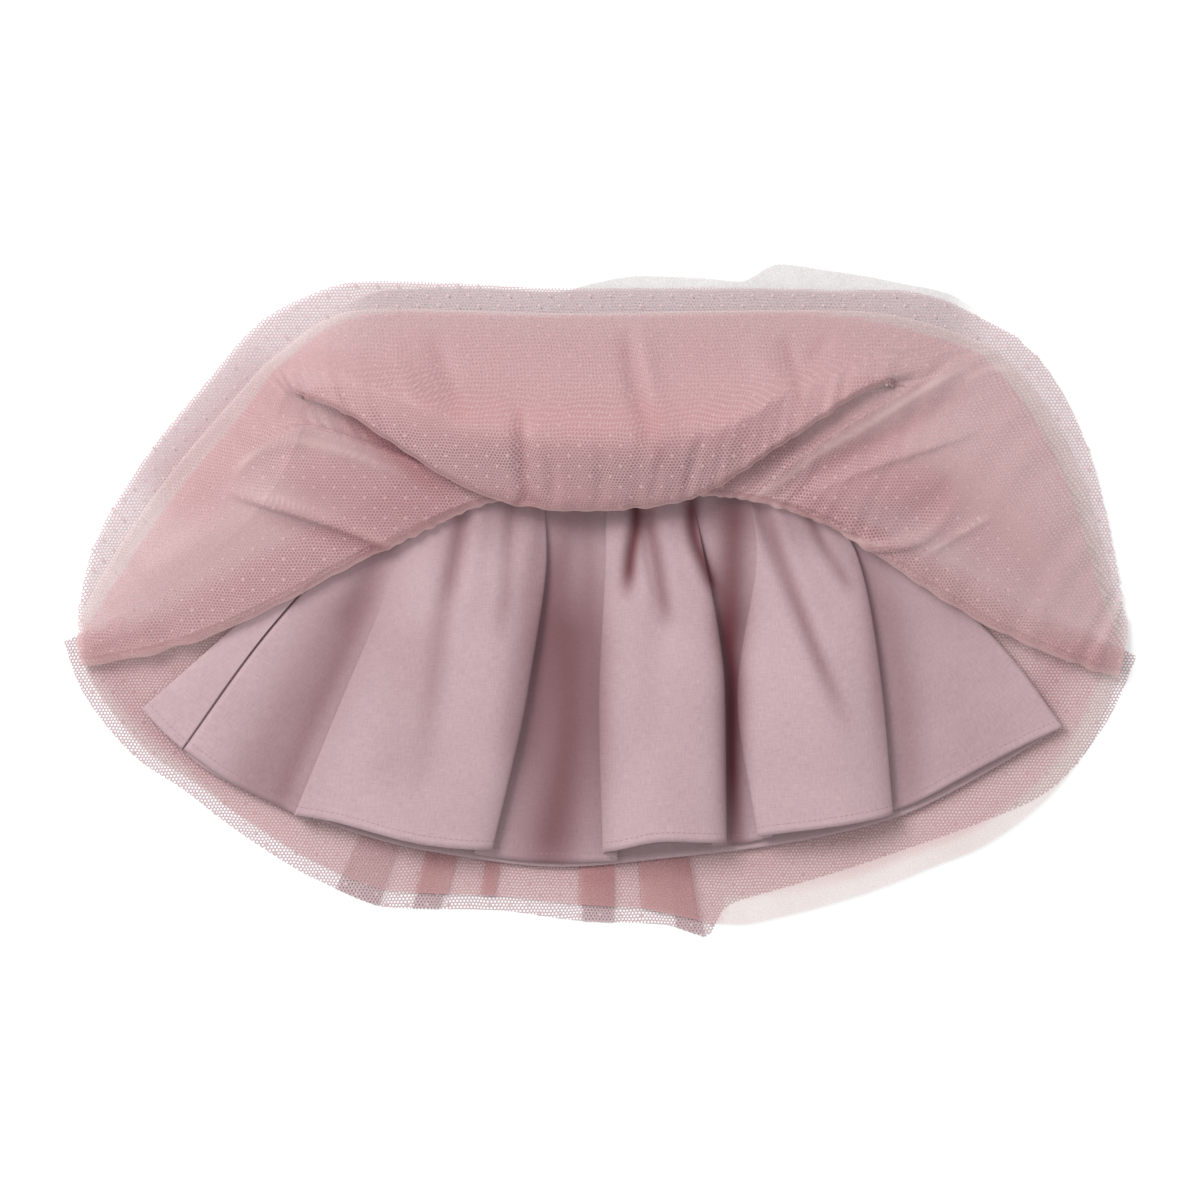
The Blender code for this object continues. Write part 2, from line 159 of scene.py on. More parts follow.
def slopes_through(points):
    """The slope at each point of a smooth line through them, flat where a coordinate turns back."""
    steps = np.diff(points, axis=0)
    before = steps[:-1]
    after = steps[1:]
    total = np.where(before + after == 0, 1.0, before + after)
    inner = np.where(before * after > 0, 2 * before * after / total, 0.0)
    return np.concatenate([steps[:1], inner, steps[-1:]])


def between_rows(points, steps):
    """A grid with so many steps between each of its rows and the next, on smooth lines through them."""
    points = np.asarray(points, float)
    counts = [steps] * (len(points) - 1) if isinstance(steps, int) else steps
    slopes = slopes_through(points)
    rows = []
    for index, count in enumerate(counts):
        for step in range(count):
            t = step / count
            start_weight = 2 * t**3 - 3 * t**2 + 1
            end_weight = 3 * t**2 - 2 * t**3
            start_slope = (t**3 - 2 * t**2 + t) * slopes[index]
            end_slope = (t**3 - t**2) * slopes[index + 1]
            ends = start_weight * points[index] + end_weight * points[index + 1]
            rows.append(ends + start_slope + end_slope)
    rows.append(points[-1])
    return np.array(rows)


def along(grid, steps):
    """The same, along each line of the cloth in place of across."""
    return between_rows(grid.transpose(1, 0, 2), steps).transpose(1, 0, 2)


def softened(grid, reach, axis=0):
    """The grid with each point blended with its neighbours along an axis; the cloth's ends stay put."""
    offsets = np.arange(-3 * reach, 3 * reach + 1)
    weights = np.exp(-((offsets / reach) ** 2) / 2)
    weights /= weights.sum()
    pad = [(0, 0)] * grid.ndim
    pad[axis] = (3 * reach, 3 * reach)
    wide = np.pad(grid, pad, mode="reflect", reflect_type="odd")
    count = grid.shape[axis]
    return sum(w * wide.take(range(i, i + count), axis=axis) for i, w in enumerate(weights))


def lengths_along(grid, axis):
    """The distance run along an axis of a grid, from its start."""
    run = np.linalg.norm(np.diff(grid, axis=axis), axis=2)
    pad = [(0, 0), (0, 0)]
    pad[axis] = (1, 0)
    return np.cumsum(np.pad(run, pad), axis=axis)


def cloth(name, grid, material, thickness=0.0, **marks):
    """A smooth sheet through a grid of points in millimetres, with a map in metres that follows the cloth.

    Its marks are from 0 to 1 at each point, such as how far the threads crowd together there."""
    columns, rows = grid.shape[:2]
    corner = (np.arange(columns - 1)[:, None] * rows + np.arange(rows - 1)[None]).ravel()
    faces = np.stack([corner, corner + rows, corner + rows + 1, corner + 1], axis=1)
    mesh = bpy.data.meshes.new(name)
    mesh.from_pydata((grid.reshape(-1, 3) * MM).tolist(), [], faces.tolist())
    across = np.broadcast_to(lengths_along(grid, 0).mean(axis=1, keepdims=True), (columns, rows))
    down = lengths_along(grid, 1)
    flat = np.stack([across, down], axis=2).reshape(-1, 2) * MM
    layer = mesh.uv_layers.new(name="cloth")
    layer.data.foreach_set("uv", flat[faces.ravel()].ravel())
    for mark, values in marks.items():
        mesh.attributes.new(mark, "FLOAT", "POINT").data.foreach_set("value", values.ravel())
    mesh.materials.append(material)
    mesh.shade_smooth()
    piece = bpy.data.objects.new(name, mesh)
    bpy.context.scene.collection.objects.link(piece)
    if thickness:
        walls = piece.modifiers.new("thickness", "SOLIDIFY")
        walls.thickness = thickness * MM
        walls.offset = 0.0
    return piece


def fan(hem, pleats, height):
    """A cloth lying flat, from the gathered waist seam out to its hem, doubled back at each pleat."""
    outline = between_rows(hem, 8)
    run = np.concatenate([[0.0], np.cumsum(np.linalg.norm(np.diff(outline, axis=0), axis=1))])
    columns = []
    start = 0.0
    # Each column is a place along the hem and how many layers up it lies. A pleat runs on past itself, turns
    # back, turns on again and drops to the surface beyond.
    for left, right in pleats:
        near, far = np.interp((left, right), outline[:, 0], run)
        columns += [(s, 0.0) for s in np.arange(start, far - 2.0, COLUMN_STEP)]
        columns += [(far, 0.5), (far - 0.6, 1.0), (near + 0.6, 1.0), (near, 1.5), (near + 0.6, 2.0)]
        columns += [(far - 2.0, 2.0), (far + 1.0, 1.0)]
        start = far + 4.0
    columns += [(s, 0.0) for s in np.arange(start, run[-1], COLUMN_STEP)] + [(run[-1], 0.0)]
    columns = np.array(columns)
    outer = np.stack([np.interp(columns[:, 0], run, outline[:, axis]) for axis in (0, 1)], axis=1)
    seam_x = (2 * columns[:, 0] / run[-1] - 1) * WAIST_HALF
    seam = np.stack([seam_x, np.full(len(seam_x), SEAM_Y)], axis=1)
    steps = np.linspace(0, 1, 61)[None, :, None]
    flat = seam[:, None] * (1 - steps) + outer[:, None] * steps
    lift = np.broadcast_to(height + FOLD_STEP * columns[:, None, 1:], (*flat.shape[:2], 1))
    return np.concatenate([flat, lift], axis=2)


def side_thinning(grid):
    """From 0 to 1, how far a fan's cloth is thinned at its hidden side edges. Its hem stays whole."""
    columns, rows = grid.shape[:2]
    from_side = np.minimum(np.arange(columns), np.arange(columns)[::-1])[:, None] / columns
    from_waist = np.linspace(0, 1, rows)[None]
    return np.clip(1 - from_side / SIDE_SHARE, 0, 1) * np.clip((0.92 - from_waist) * 8, 0, 1)


def net_finish(name, thread, cover, shaded_net_colour, shaded_net_cover):
    """Bobbin net: hexagonal holes between fine nylon threads, which the eye takes in as a veil.

    Where the net is bunched up on itself, its holes are partly filled with the colour of the net
    at its back, darkened with painted shade."""
    made, tree, shader = finish(name)
    place = add(tree, "ShaderNodeTexCoord").outputs["Object"]
    ways = [
        add(tree, "ShaderNodeVectorMath", {0: place, 1: way}, operation="DOT_PRODUCT").outputs["Value"]
        for way in ((1.0, 0.0, SLANT[0]), (0.0, 1.0, SLANT[1]))
    ]
    flat = add(tree, "ShaderNodeCombineXYZ", {"X": ways[0], "Y": ways[1]}).outputs[0]
    wander = add(tree, "ShaderNodeTexNoise", {"Vector": flat, "Scale": 60.0, "Detail": 1.0})
    drift = add(
        tree,
        "ShaderNodeVectorMath",
        {0: wander.outputs["Color"], 1: (0.5, 0.5, 0.5)},
        operation="SUBTRACT",
    ).outputs[0]
    moved = add(
        tree,
        "ShaderNodeVectorMath",
        {0: drift, 1: (1.5 * HOLE, 1.5 * HOLE, 0.0), 2: flat},
        operation="MULTIPLY_ADD",
    ).outputs[0]
    scaled = add(
        tree,
        "ShaderNodeVectorMath",
        {0: moved, 1: (1 / HOLE, 1 / HOLE, 0.0)},
        operation="MULTIPLY",
    ).outputs[0]
    # Two grids of cells, half a repeat apart, make the hexagons: each point belongs to the nearer middle.
    repeat = (1.0, math.sqrt(3.0), 1.0)
    middle = (0.5, math.sqrt(3.0) / 2, 0.0)
    nearest = []
    for offset in ((0.0, 0.0, 0.0), middle):
        shifted = add(tree, "ShaderNodeVectorMath", {0: scaled, 1: offset}, operation="SUBTRACT").outputs[0]
        wrapped = add(
            tree,
            "ShaderNodeVectorMath",
            {0: shifted, 1: repeat, 2: (0.0, 0.0, 0.0)},
            operation="WRAP",
        ).outputs[0]
        centred = add(tree, "ShaderNodeVectorMath", {0: wrapped, 1: middle}, operation="SUBTRACT").outputs[0]
        size = add(tree, "ShaderNodeVectorMath", {0: centred}, operation="LENGTH").outputs["Value"]
        nearest.append((centred, size))
    second_nearer = add(tree, "ShaderNodeMath", {0: nearest[1][1], 1: nearest[0][1]}, operation="LESS_THAN")
    cell = add(
        tree,
        "ShaderNodeMix",
        {0: second_nearer.outputs[0], 4: nearest[0][0], 5: nearest[1][0]},
        data_type="VECTOR",
    ).outputs[1]
    folded = add(tree, "ShaderNodeVectorMath", {0: cell}, operation="ABSOLUTE").outputs[0]
    sides = [
        add(tree, "ShaderNodeVectorMath", {0: folded, 1: side}, operation="DOT_PRODUCT").outputs["Value"]
        for side in ((1.0, 0.0, 0.0), (0.5, math.sqrt(3.0) / 2, 0.0))
    ]
    reach = add(tree, "ShaderNodeMath", {0: sides[0], 1: sides[1]}, operation="MAXIMUM").outputs[0]
    crowd = add(tree, "ShaderNodeAttribute", attribute_name="crowding").outputs["Fac"]
    inner = add(
        tree, "ShaderNodeMapRange", {0: crowd, 1: 0.0, 2: 1.0, 3: 0.5 - THREAD_SHARE, 4: 0.25}
    ).outputs[0]
    softer = add(tree, "ShaderNodeMath", {0: inner, 1: 0.06}, operation="ADD").outputs[0]
    threads = add(
        tree,
        "ShaderNodeMapRange",
        {0: reach, 1: inner, 2: softer, 3: 0.0, 4: cover},
        interpolation_type="SMOOTHSTEP",
    ).outputs[0]
    bunched = add(tree, "ShaderNodeAttribute", attribute_name="bunched").outputs["Fac"]
    filled = add(tree, "ShaderNodeMath", {0: bunched, 1: shaded_net_cover}, operation="MULTIPLY").outputs[0]
    whole = add(tree, "ShaderNodeMath", {0: threads, 1: filled}, operation="MAXIMUM").outputs[0]
    spent = add(tree, "ShaderNodeAttribute", attribute_name="spent").outputs["Fac"]
    kept = add(tree, "ShaderNodeMath", {0: 1.0, 1: spent}, operation="SUBTRACT").outputs[0]
    shown = add(tree, "ShaderNodeMath", {0: whole, 1: kept}, operation="MULTIPLY").outputs[0]
    shade = add(
        tree, "ShaderNodeMix", {0: threads, 6: linear(shaded_net_colour), 7: linear(thread)}, data_type="RGBA"
    ).outputs[2]
    tree.links.new(shown, shader.inputs["Alpha"])
    tree.links.new(shade, shader.inputs["Base Color"])
    shader.inputs["Roughness"].default_value = 0.55
    shader.inputs["Sheen Weight"].default_value = 0.15
    shader.inputs["Sheen Roughness"].default_value = 0.4
    return made


def node_group(name, inputs, output):
    """A new Geometry Nodes tree, its named inputs' identifiers, and the sockets that give their values."""
    tree = bpy.data.node_groups.new(name, "GeometryNodeTree")
    sockets = {}
    for label, kind in inputs.items():
        made = tree.interface.new_socket(name=label, in_out="INPUT", socket_type="NodeSocket" + kind)
        sockets[label] = made.identifier
    tree.interface.new_socket(name=output, in_out="OUTPUT", socket_type="NodeSocketGeometry")
    return tree, sockets, add(tree, "NodeGroupInput").outputs


def dot_tree(stretches):
    """Geometry Nodes that drop staggered rows of dots onto each stretch of a net."""
    inputs = {"Net": "Geometry", "Apart": "Float", "Width": "Float", "Height": "Float", "Flock": "Material"}
    tree, sockets, given = node_group("flocked dots", inputs, "Dots")
    joined = add(tree, "GeometryNodeJoinGeometry")
    across = round(FIELD_WIDTH / DOT_APART)
    up = round(FIELD_HEIGHT / DOT_APART)
    for shift in (0.0, 0.5):
        width, height, move = (
            add(tree, "ShaderNodeMath", {0: given["Apart"], 1: share}, operation="MULTIPLY").outputs[0]
            for share in (across, up, shift)
        )
        rows = add(
            tree,
            "GeometryNodeMeshGrid",
            {"Size X": width, "Size Y": height, "Vertices X": across + 1, "Vertices Y": up + 1},
        ).outputs["Mesh"]
        place = add(tree, "ShaderNodeCombineXYZ", {"X": move, "Y": move, "Z": DROP_FROM}).outputs[0]
        moved = add(tree, "GeometryNodeTransform", {"Geometry": rows, "Translation": place})
        tree.links.new(moved.outputs[0], joined.inputs[0])
    size = add(tree, "ShaderNodeCombineXYZ", {"X": given["Width"], "Y": given["Width"], "Z": given["Height"]})
    dot = add(tree, "GeometryNodeMeshIcoSphere", {"Radius": 0.5, "Subdivisions": 1}).outputs["Mesh"]
    collected = add(tree, "GeometryNodeJoinGeometry")
    for number in range(stretches):
        label = add(tree, "GeometryNodeInputNamedAttribute", {"Name": "stretch"}, data_type="INT")
        chosen = add(
            tree,
            "FunctionNodeCompare",
            {2: label.outputs["Attribute"], 3: number},
            data_type="INT",
            operation="EQUAL",
        ).outputs[0]
        part = add(
            tree,
            "GeometryNodeSeparateGeometry",
            {"Geometry": given["Net"], "Selection": chosen},
            domain="FACE",
        ).outputs["Selection"]
        fall = add(
            tree,
            "GeometryNodeRaycast",
            {"Target Geometry": part, "Ray Direction": (0.0, 0.0, -1.0), "Ray Length": 2 * DROP_FROM},
        )
        kept = add(
            tree,
            "GeometryNodeStoreNamedAttribute",
            {"Geometry": joined.outputs[0], "Name": "facing", "Value": fall.outputs["Hit Normal"]},
            data_type="FLOAT_VECTOR",
            domain="POINT",
        ).outputs[0]
        landed = add(
            tree,
            "GeometryNodeMeshToPoints",
            {"Mesh": kept, "Selection": fall.outputs["Is Hit"], "Position": fall.outputs["Hit Position"]},
        ).outputs[0]
        facing = add(tree, "GeometryNodeInputNamedAttribute", {"Name": "facing"}, data_type="FLOAT_VECTOR")
        turned = add(
            tree, "FunctionNodeAlignRotationToVector", {"Vector": facing.outputs["Attribute"]}, axis="Z"
        ).outputs[0]
        spread = add(
            tree,
            "GeometryNodeInstanceOnPoints",
            {"Points": landed, "Instance": dot, "Rotation": turned, "Scale": size.outputs[0]},
        ).outputs[0]
        tree.links.new(spread, collected.inputs[0])
    real = add(tree, "GeometryNodeRealizeInstances", {"Geometry": collected.outputs[0]}).outputs[0]
    coloured = add(tree, "GeometryNodeSetMaterial", {"Geometry": real, "Material": given["Flock"]}).outputs[0]
    add(tree, "NodeGroupOutput", {0: coloured})
    return tree, sockets


def built_on(source, name, tree, values):
    """The plain mesh that a Geometry Nodes tree makes from a piece, as an object of its own."""
    maker = bpy.data.objects.new(name + "_maker", source.data.copy())
    bpy.context.scene.collection.objects.link(maker)
    nodes = maker.modifiers.new("nodes", "NODES")
    nodes.node_group = tree
    for identifier, value in values.items():
        nodes[identifier] = value
    bpy.context.view_layer.update()
    evaluated = maker.evaluated_get(bpy.context.evaluated_depsgraph_get())
    mesh = bpy.data.meshes.new_from_object(evaluated)
    mesh.name = name
    piece = bpy.data.objects.new(name, mesh)
    bpy.context.scene.collection.objects.link(piece)
    bpy.data.objects.remove(maker, do_unlink=True)
    return piece


def dotted(net, name, stretch_numbers):
    """The dots on a net, dropped onto each stretch of it in turn. Each face has its stretch's number."""
    stretch = net.data.attributes.new("stretch", "INT", "FACE")
    stretch.data.foreach_set("value", stretch_numbers.astype(np.int32))
    tree, sockets = dot_tree(int(stretch_numbers.max()) + 1)
    sizes = {
        sockets["Apart"]: DOT_APART,
        sockets["Width"]: DOT_WIDTH,
        sockets["Height"]: DOT_HEIGHT,
        sockets["Flock"]: flock,
    }
    return built_on(net, name, tree, sizes)


# Nylon bobbin net, dyed dusty rose: fine threads, pinker than the lining, with holes that show what is under.
# Where it is bunched, its holes are filled with a deeper rose: the net at its back, darkened with painted
# shade.
net_thread = net_finish("nylon bobbin net", "#bea3a7", 0.95, "#a87276", 0.9)
# Nylon flock: short upright fibres, matt and pale, so that a dot has a soft edge and no gloss.
flock, _, flock_shader = finish("nylon flock")
flock_shader.inputs["Base Color"].default_value = linear("#ccb1b2")
flock_shader.inputs["Roughness"].default_value = 0.95
flock_shader.inputs["Sheen Weight"].default_value = 0.3

net_back_grid = fan(BACK_NET_HEM, BACK_NET_PLEATS, NET_BACK_Z)
net_back = cloth("back_net", net_back_grid, net_thread, spent=side_thinning(net_back_grid))
back_dots = dotted(net_back, "back_dots", np.zeros(len(net_back.data.polygons)))
for piece in (net_back, back_dots):
    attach(piece, "root")
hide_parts("net_back")

# ------------------------------------------------------------------------------------------------------
# The back tulle: a fine, soft nylon tulle lying on the back net, gathered and cut raw like it. Its holes
# are too small to see, so it looks like a pink haze, and its pressed pleats are the darker strips: darker
# from their extra layers and from painted shade, which also darkens its corners and the edge under the
# lining.
# ------------------------------------------------------------------------------------------------------
TULLE_BACK_Z = 1.55
BACK_PLY_STEP = ((-240, 6), (-200, -3), (66, -3), (72, 13), (230, 9))  # place, how much shorter one ply is
PLY_FADE = 1.5  # the length over which the second ply starts to show
BACK_TULLE_HEM = (
    (-289, -23), (-281, -44), (-269, -62), (-249, -84), (-226, -99), (-194, -122), (-152, -147),
    (-111, -161), (-60, -163), (-11, -168), (34, -171), (60, -178), (78, -179), (103, -174),
    (130, -167), (160, -157), (184, -147), (209, -137), (245, -111), (269, -80), (290, -31),
)  # fmt: skip
BACK_TULLE_PLEATS = ((-102, -84), (-66, -58), (-12, 8), (23, 54))
MARK_COLUMNS = ("name", "path", "width", "strength")
# Painted shade: strokes along which the tulle is darkened, at its corners, along its pleats and under the
# lining's hem.
BACK_TULLE_PAINTED_SHADE = (
    ("left corner", ((-300, -4), (-266, -48), (-240, -76), (-180, -116)), 12, 0.7),
    ("left under the turn", ((-290, -34), (-250, -40), (-196, -26)), 8, 0.6),
    ("right corner", ((300, -6), (252, -38), (236, -66), (190, -104)), 12, 0.75),
    ("pleat one", ((-96, -90), (-96, -150), (-94, -220)), 7, 0.3),
    ("pleat two", ((-60, -90), (-62, -150), (-62, -220)), 5, 0.4),
    ("pleat three", ((-2, -90), (-1, -150), (-2, -220)), 8, 0.75),
    ("pleat four", ((36, -90), (38, -150), (40, -220)), 12, 0.55),
    ("under the lining", ((-200, -80), (-120, -132), (-20, -152), (80, -144), (170, -118), (250, -70)),
     7, 0.35),
)  # fmt: skip
HAZE_GRAIN = 0.7 * MM  # the real holes are too fine to show, so the haze is grained this coarsely
PATH_STEPS = 6  # straight runs between two points of a path across the cloth
THIN_SHARE = 0.4  # of the haze that is left where the tulle is stretched thin


def tulle_finish(name, covers, colours):
    """Fine tulle: an uneven haze of threads, in places two-ply, crowded at a rim or darkened in a hollow.

    Its paler colour at a rim is a painted highlight, its darker colour in a hollow painted shade.
    The covers are for one ply, two plies and a rim. The colours are for those and a hollow, or only one."""
    cover, doubled_cover, rim_cover = covers
    made, tree, shader = finish(name)
    place = add(tree, "ShaderNodeTexCoord").outputs["Object"]
    grain = add(
        tree,
        "ShaderNodeTexNoise",
        {"Vector": place, "Scale": 1 / HAZE_GRAIN, "Detail": 2.0, "Roughness": 0.6},
    ).outputs["Fac"]
    cloud = add(tree, "ShaderNodeTexNoise", {"Vector": place, "Scale": 28.0, "Detail": 3.0}).outputs["Fac"]
    crowd = add(tree, "ShaderNodeAttribute", attribute_name="crowding").outputs["Fac"]
    grainy = add(tree, "ShaderNodeMapRange", {0: grain, 1: 0.3, 2: 0.7, 3: -0.09, 4: 0.09}).outputs[0]
    cloudy = add(tree, "ShaderNodeMapRange", {0: cloud, 1: 0.3, 2: 0.7, 3: -0.04, 4: 0.04}).outputs[0]
    plies = add(tree, "ShaderNodeAttribute", attribute_name="plies").outputs["Fac"]
    hollow = add(tree, "ShaderNodeAttribute", attribute_name="hollow").outputs["Fac"]
    thin = add(tree, "ShaderNodeAttribute", attribute_name="thin").outputs["Fac"]
    ply_cover = add(
        tree, "ShaderNodeMapRange", {0: plies, 1: 0.0, 2: 1.0, 3: cover, 4: doubled_cover}
    ).outputs[0]
    even = add(
        tree, "ShaderNodeMapRange", {0: crowd, 1: 0.0, 2: 1.0, 3: ply_cover, 4: rim_cover}
    ).outputs[0]
    uneven = add(tree, "ShaderNodeMath", {0: grainy, 1: cloudy}, operation="ADD").outputs[0]
    full = add(tree, "ShaderNodeMath", {0: even, 1: uneven}, operation="ADD").outputs[0]
    spent = add(tree, "ShaderNodeAttribute", attribute_name="spent").outputs["Fac"]
    thinned = add(tree, "ShaderNodeMapRange", {0: thin, 1: 0.0, 2: 1.0, 3: 1.0, 4: THIN_SHARE}).outputs[0]
    kept = add(tree, "ShaderNodeMapRange", {0: spent, 1: 0.0, 2: 1.0, 3: thinned, 4: 0.0}).outputs[0]
    haze = add(tree, "ShaderNodeMath", {0: full, 1: kept}, operation="MULTIPLY", use_clamp=True).outputs[0]
    tree.links.new(haze, shader.inputs["Alpha"])
    shade = linear(colours[0])
    shader.inputs["Base Color"].default_value = shade
    # The rim colour is a painted highlight, and the hollow colour painted shade.
    for share, colour in zip((plies, crowd, hollow), colours[1:]):
        shade = add(
            tree, "ShaderNodeMix", {0: share, 6: shade, 7: linear(colour)}, data_type="RGBA"
        ).outputs[2]
    if len(colours) > 1:
        tree.links.new(shade, shader.inputs["Base Color"])
    shader.inputs["Roughness"].default_value = 0.6
    shader.inputs["Sheen Weight"].default_value = 0.2
    shader.inputs["Sheen Roughness"].default_value = 0.35
    return made


def named_rows(columns, table):
    """The rows of a table as dictionaries."""
    return [dict(zip(columns, row)) for row in table]


def paths_near(places, path):
    """For each place, its distance to a smooth path across the cloth, and how far along the path it is."""
    line = between_rows(np.array(path, float), PATH_STEPS)
    flat = places.reshape(-1, 2)
    apart = np.full(len(flat), np.inf)
    share = np.zeros(len(flat))
    for step, (start, end) in enumerate(zip(line[:-1], line[1:])):
        run = end - start
        past = np.clip((flat - start) @ run / (run @ run), 0, 1)
        reach = np.hypot(*(flat - start - past[:, None] * run).T)
        nearer = reach < apart
        apart[nearer] = reach[nearer]
        share[nearer] = (step + past[nearer]) / (len(line) - 1)
    return apart.reshape(places.shape[:2]), share.reshape(places.shape[:2])


def marked(grid, table, part=slice(None)):
    """From 0 to 1 at each point of a cloth, how far the soft strokes of a table mark it."""
    mark = np.zeros(grid.shape[:2])
    for row in named_rows(MARK_COLUMNS, table):
        apart, share = paths_near(grid[:, part, :2], row["path"])
        fade = np.clip(np.minimum(share, 1 - share) * 4, 0, 1)
        fade = fade * fade * (3 - 2 * fade)
        stroke = row["strength"] * np.exp(-((apart / row["width"]) ** 2)) * fade
        mark[:, part] = 1 - (1 - mark[:, part]) * (1 - stroke)
    return mark


# Fine nylon tulle, the same dusty rose: it veils what is under it and turns salmon where it lies doubled.
# Its paler rim colour is a painted highlight, and its dark salmon hollow colour painted shade.
tulle_haze = tulle_finish(
    "fine nylon tulle", (0.36, 0.42, 0.75), ("#d0bab6", "#cc9fa0", "#e6c8c5", "#a9666b")
)
tulle_back_grid = fan(BACK_TULLE_HEM, BACK_TULLE_PLEATS, TULLE_BACK_Z)
back_run = lengths_along(tulle_back_grid, 1)
back_step = np.interp(tulle_back_grid[:, -1:, 0], *zip(*BACK_PLY_STEP))
tulle_back = cloth(
    "back_tulle",
    tulle_back_grid,
    tulle_haze,
    plies=np.clip((back_run[:, -1:] - back_run - back_step) / PLY_FADE, 0, 1),
    hollow=marked(tulle_back_grid, BACK_TULLE_PAINTED_SHADE),
    spent=side_thinning(tulle_back_grid),
)
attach(tulle_back, "root")
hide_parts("tulle_back")

# ------------------------------------------------------------------------------------------------------
# The back lining: cotton voile, gathered onto the waist, with a turned hem held by one row of short thread
# stitches. It lies on the back tulle, and at the left it wraps over to the side seam. Only the wrap's
# stitches show, so only they are made.
# ------------------------------------------------------------------------------------------------------
LINING_HEM = 5.0  # from the hem's edge to its topstitching
HEM_RISE = 0.3  # how much thicker the turned hem is
COTTON = 0.8
YARN_APART = 0.55 * MM  # about twice the real spacing, which is too fine to show
SLUB_LENGTH = 5 * MM
STITCH_APART = 2.9 * MM
STITCH_LENGTH = 2.3 * MM
STITCH_WIDTH = 0.35 * MM
STITCH_PROUD = 0.45
LEAST_AVERAGE = 0.6  # the sharpest fold that an offset still allows for in full
LINING_BACK_STEPS = (14, 40)  # across, from each line to the next, and down
WRAP_LINES = 2  # the first lines, between which and the fold the cloth wraps over to the side seam
WRAP_SEAM_HEIGHTS = (6.6, 6.2)  # how high those two lie at the waist
HIGHEST_AT_SEAM = 5.0  # for the other lines
LINING_BACK_COLUMNS = ("name", "seam", "middle", "hem", "height")
LINING_BACK = (
    ("side seam", -109, (-188.5, -24), (-230.0, -82), 6.7),
    ("wrap", -110.5, (-200, -24), (-241, -72), 6.5),
    ("fold", -111.5, (-209, -22), (-252, -60), 5.0),
    ("under", -110, (-202, -26), (-243, -68), 3.4),
    ("left", -104, (-178, -36), (-222, -90), 3.4),
    ("left middle", -84, (-140, -54), (-170, -116), 3.4),
    ("middle left", -50, (-75, -64), (-97, -138), 3.4),
    ("middle", -8, (-14, -70), (-22, -147), 3.4),
    ("middle right", 34, (38, -68), (39, -142), 3.4),
    ("right middle", 66, (84, -64), (97, -135), 3.4),
    ("right", 90, (130, -58), (160, -121), 3.4),
    ("right end", 103, (184, -44), (220, -91), 3.4),
    ("right edge", 108, (224, -29), (254, -70), 3.4),
)


def hemmed(grid):
    """The cloth with its last stretch thicker, where the hem is turned up and stitched down."""
    run = lengths_along(grid, 1)
    from_edge = run[:, -1:] - run
    turned = 1 / (1 + np.exp((from_edge - LINING_HEM) / 0.35))
    grid = grid.copy()
    grid[..., 2] += turned * HEM_RISE - HEM_RISE * np.exp(-(((from_edge - LINING_HEM) / 0.7) ** 2))
    return grid


def voile_finish(name, colour, dull_colour, painted_shade_colour):
    """Cotton voile: a plain weave with slubs, matt, with a slight bloom of loose fibre.

    Inside the pleats it is darkened with painted shade, as the real ones are many times deeper than these."""
    made, tree, shader = finish(name)
    flat = add(tree, "ShaderNodeUVMap", uv_map="cloth").outputs[0]
    warp = add(
        tree,
        "ShaderNodeMapping",
        {"Vector": flat, "Scale": (1 / YARN_APART, 1 / SLUB_LENGTH, 1.0)},
    ).outputs[0]
    weft = add(
        tree,
        "ShaderNodeMapping",
        {"Vector": flat, "Scale": (1 / SLUB_LENGTH, 1 / YARN_APART, 1.0)},
    ).outputs[0]
    runs = [
        add(tree, "ShaderNodeTexNoise", {"Vector": way, "Scale": 1.0, "Detail": 2.0}).outputs["Fac"]
        for way in (warp, weft)
    ]
    weave = add(tree, "ShaderNodeMath", {0: runs[0], 1: runs[1]}, operation="ADD").outputs[0]
    cloud = add(tree, "ShaderNodeTexNoise", {"Vector": flat, "Scale": 35.0, "Detail": 4.0}).outputs["Fac"]
    mottle = add(tree, "ShaderNodeMath", {0: cloud, 1: 0.5, 2: weave}, operation="MULTIPLY_ADD").outputs[0]
    depth = add(tree, "ShaderNodeMapRange", {0: mottle, 1: 0.85, 2: 1.65, 3: 0.0, 4: 1.0}).outputs[0]
    shade = add(
        tree,
        "ShaderNodeMix",
        {0: depth, 6: linear(dull_colour), 7: linear(colour)},
        data_type="RGBA",
    ).outputs[2]
    # Painted shade: the hollow mark darkens the voile towards a deep mauve inside the pleats.
    hollow = add(tree, "ShaderNodeAttribute", attribute_name="hollow").outputs["Fac"]
    shade = add(
        tree, "ShaderNodeMix", {0: hollow, 6: shade, 7: linear(painted_shade_colour)}, data_type="RGBA"
    ).outputs[2]
    relief = add(
        tree, "ShaderNodeBump", {"Height": weave, "Strength": 0.35, "Distance": 0.15 * MM}
    ).outputs[0]
    tree.links.new(shade, shader.inputs["Base Color"])
    tree.links.new(relief, shader.inputs["Normal"])
    shader.inputs["Roughness"].default_value = 0.85
    shader.inputs["Specular IOR Level"].default_value = 0.25
    shader.inputs["Sheen Weight"].default_value = 0.12
    shader.inputs["Sheen Roughness"].default_value = 0.5
    return made


def mitres(grid):
    """At each point the offset that moves every face around it by one unit."""
    across = np.diff(grid, axis=0)
    down = np.diff(grid, axis=1)
    total = np.zeros_like(grid)
    count = np.zeros(grid.shape[:2])
    columns, rows = grid.shape[:2]
    for first in (0, 1):
        for second in (0, 1):
            normals = np.cross(across[:, second : rows - 1 + second], down[first : columns - 1 + first, :])
            normals = normals / np.maximum(np.linalg.norm(normals, axis=2, keepdims=True), 1e-9)
            for u in (0, 1):
                for v in (0, 1):
                    total[u : columns - 1 + u, v : rows - 1 + v] += normals
                    count[u : columns - 1 + u, v : rows - 1 + v] += 1
    average = total / count[..., None]
    size = np.linalg.norm(average, axis=2, keepdims=True)
    return average / np.maximum(size, 1e-9) / np.maximum(size, LEAST_AVERAGE)


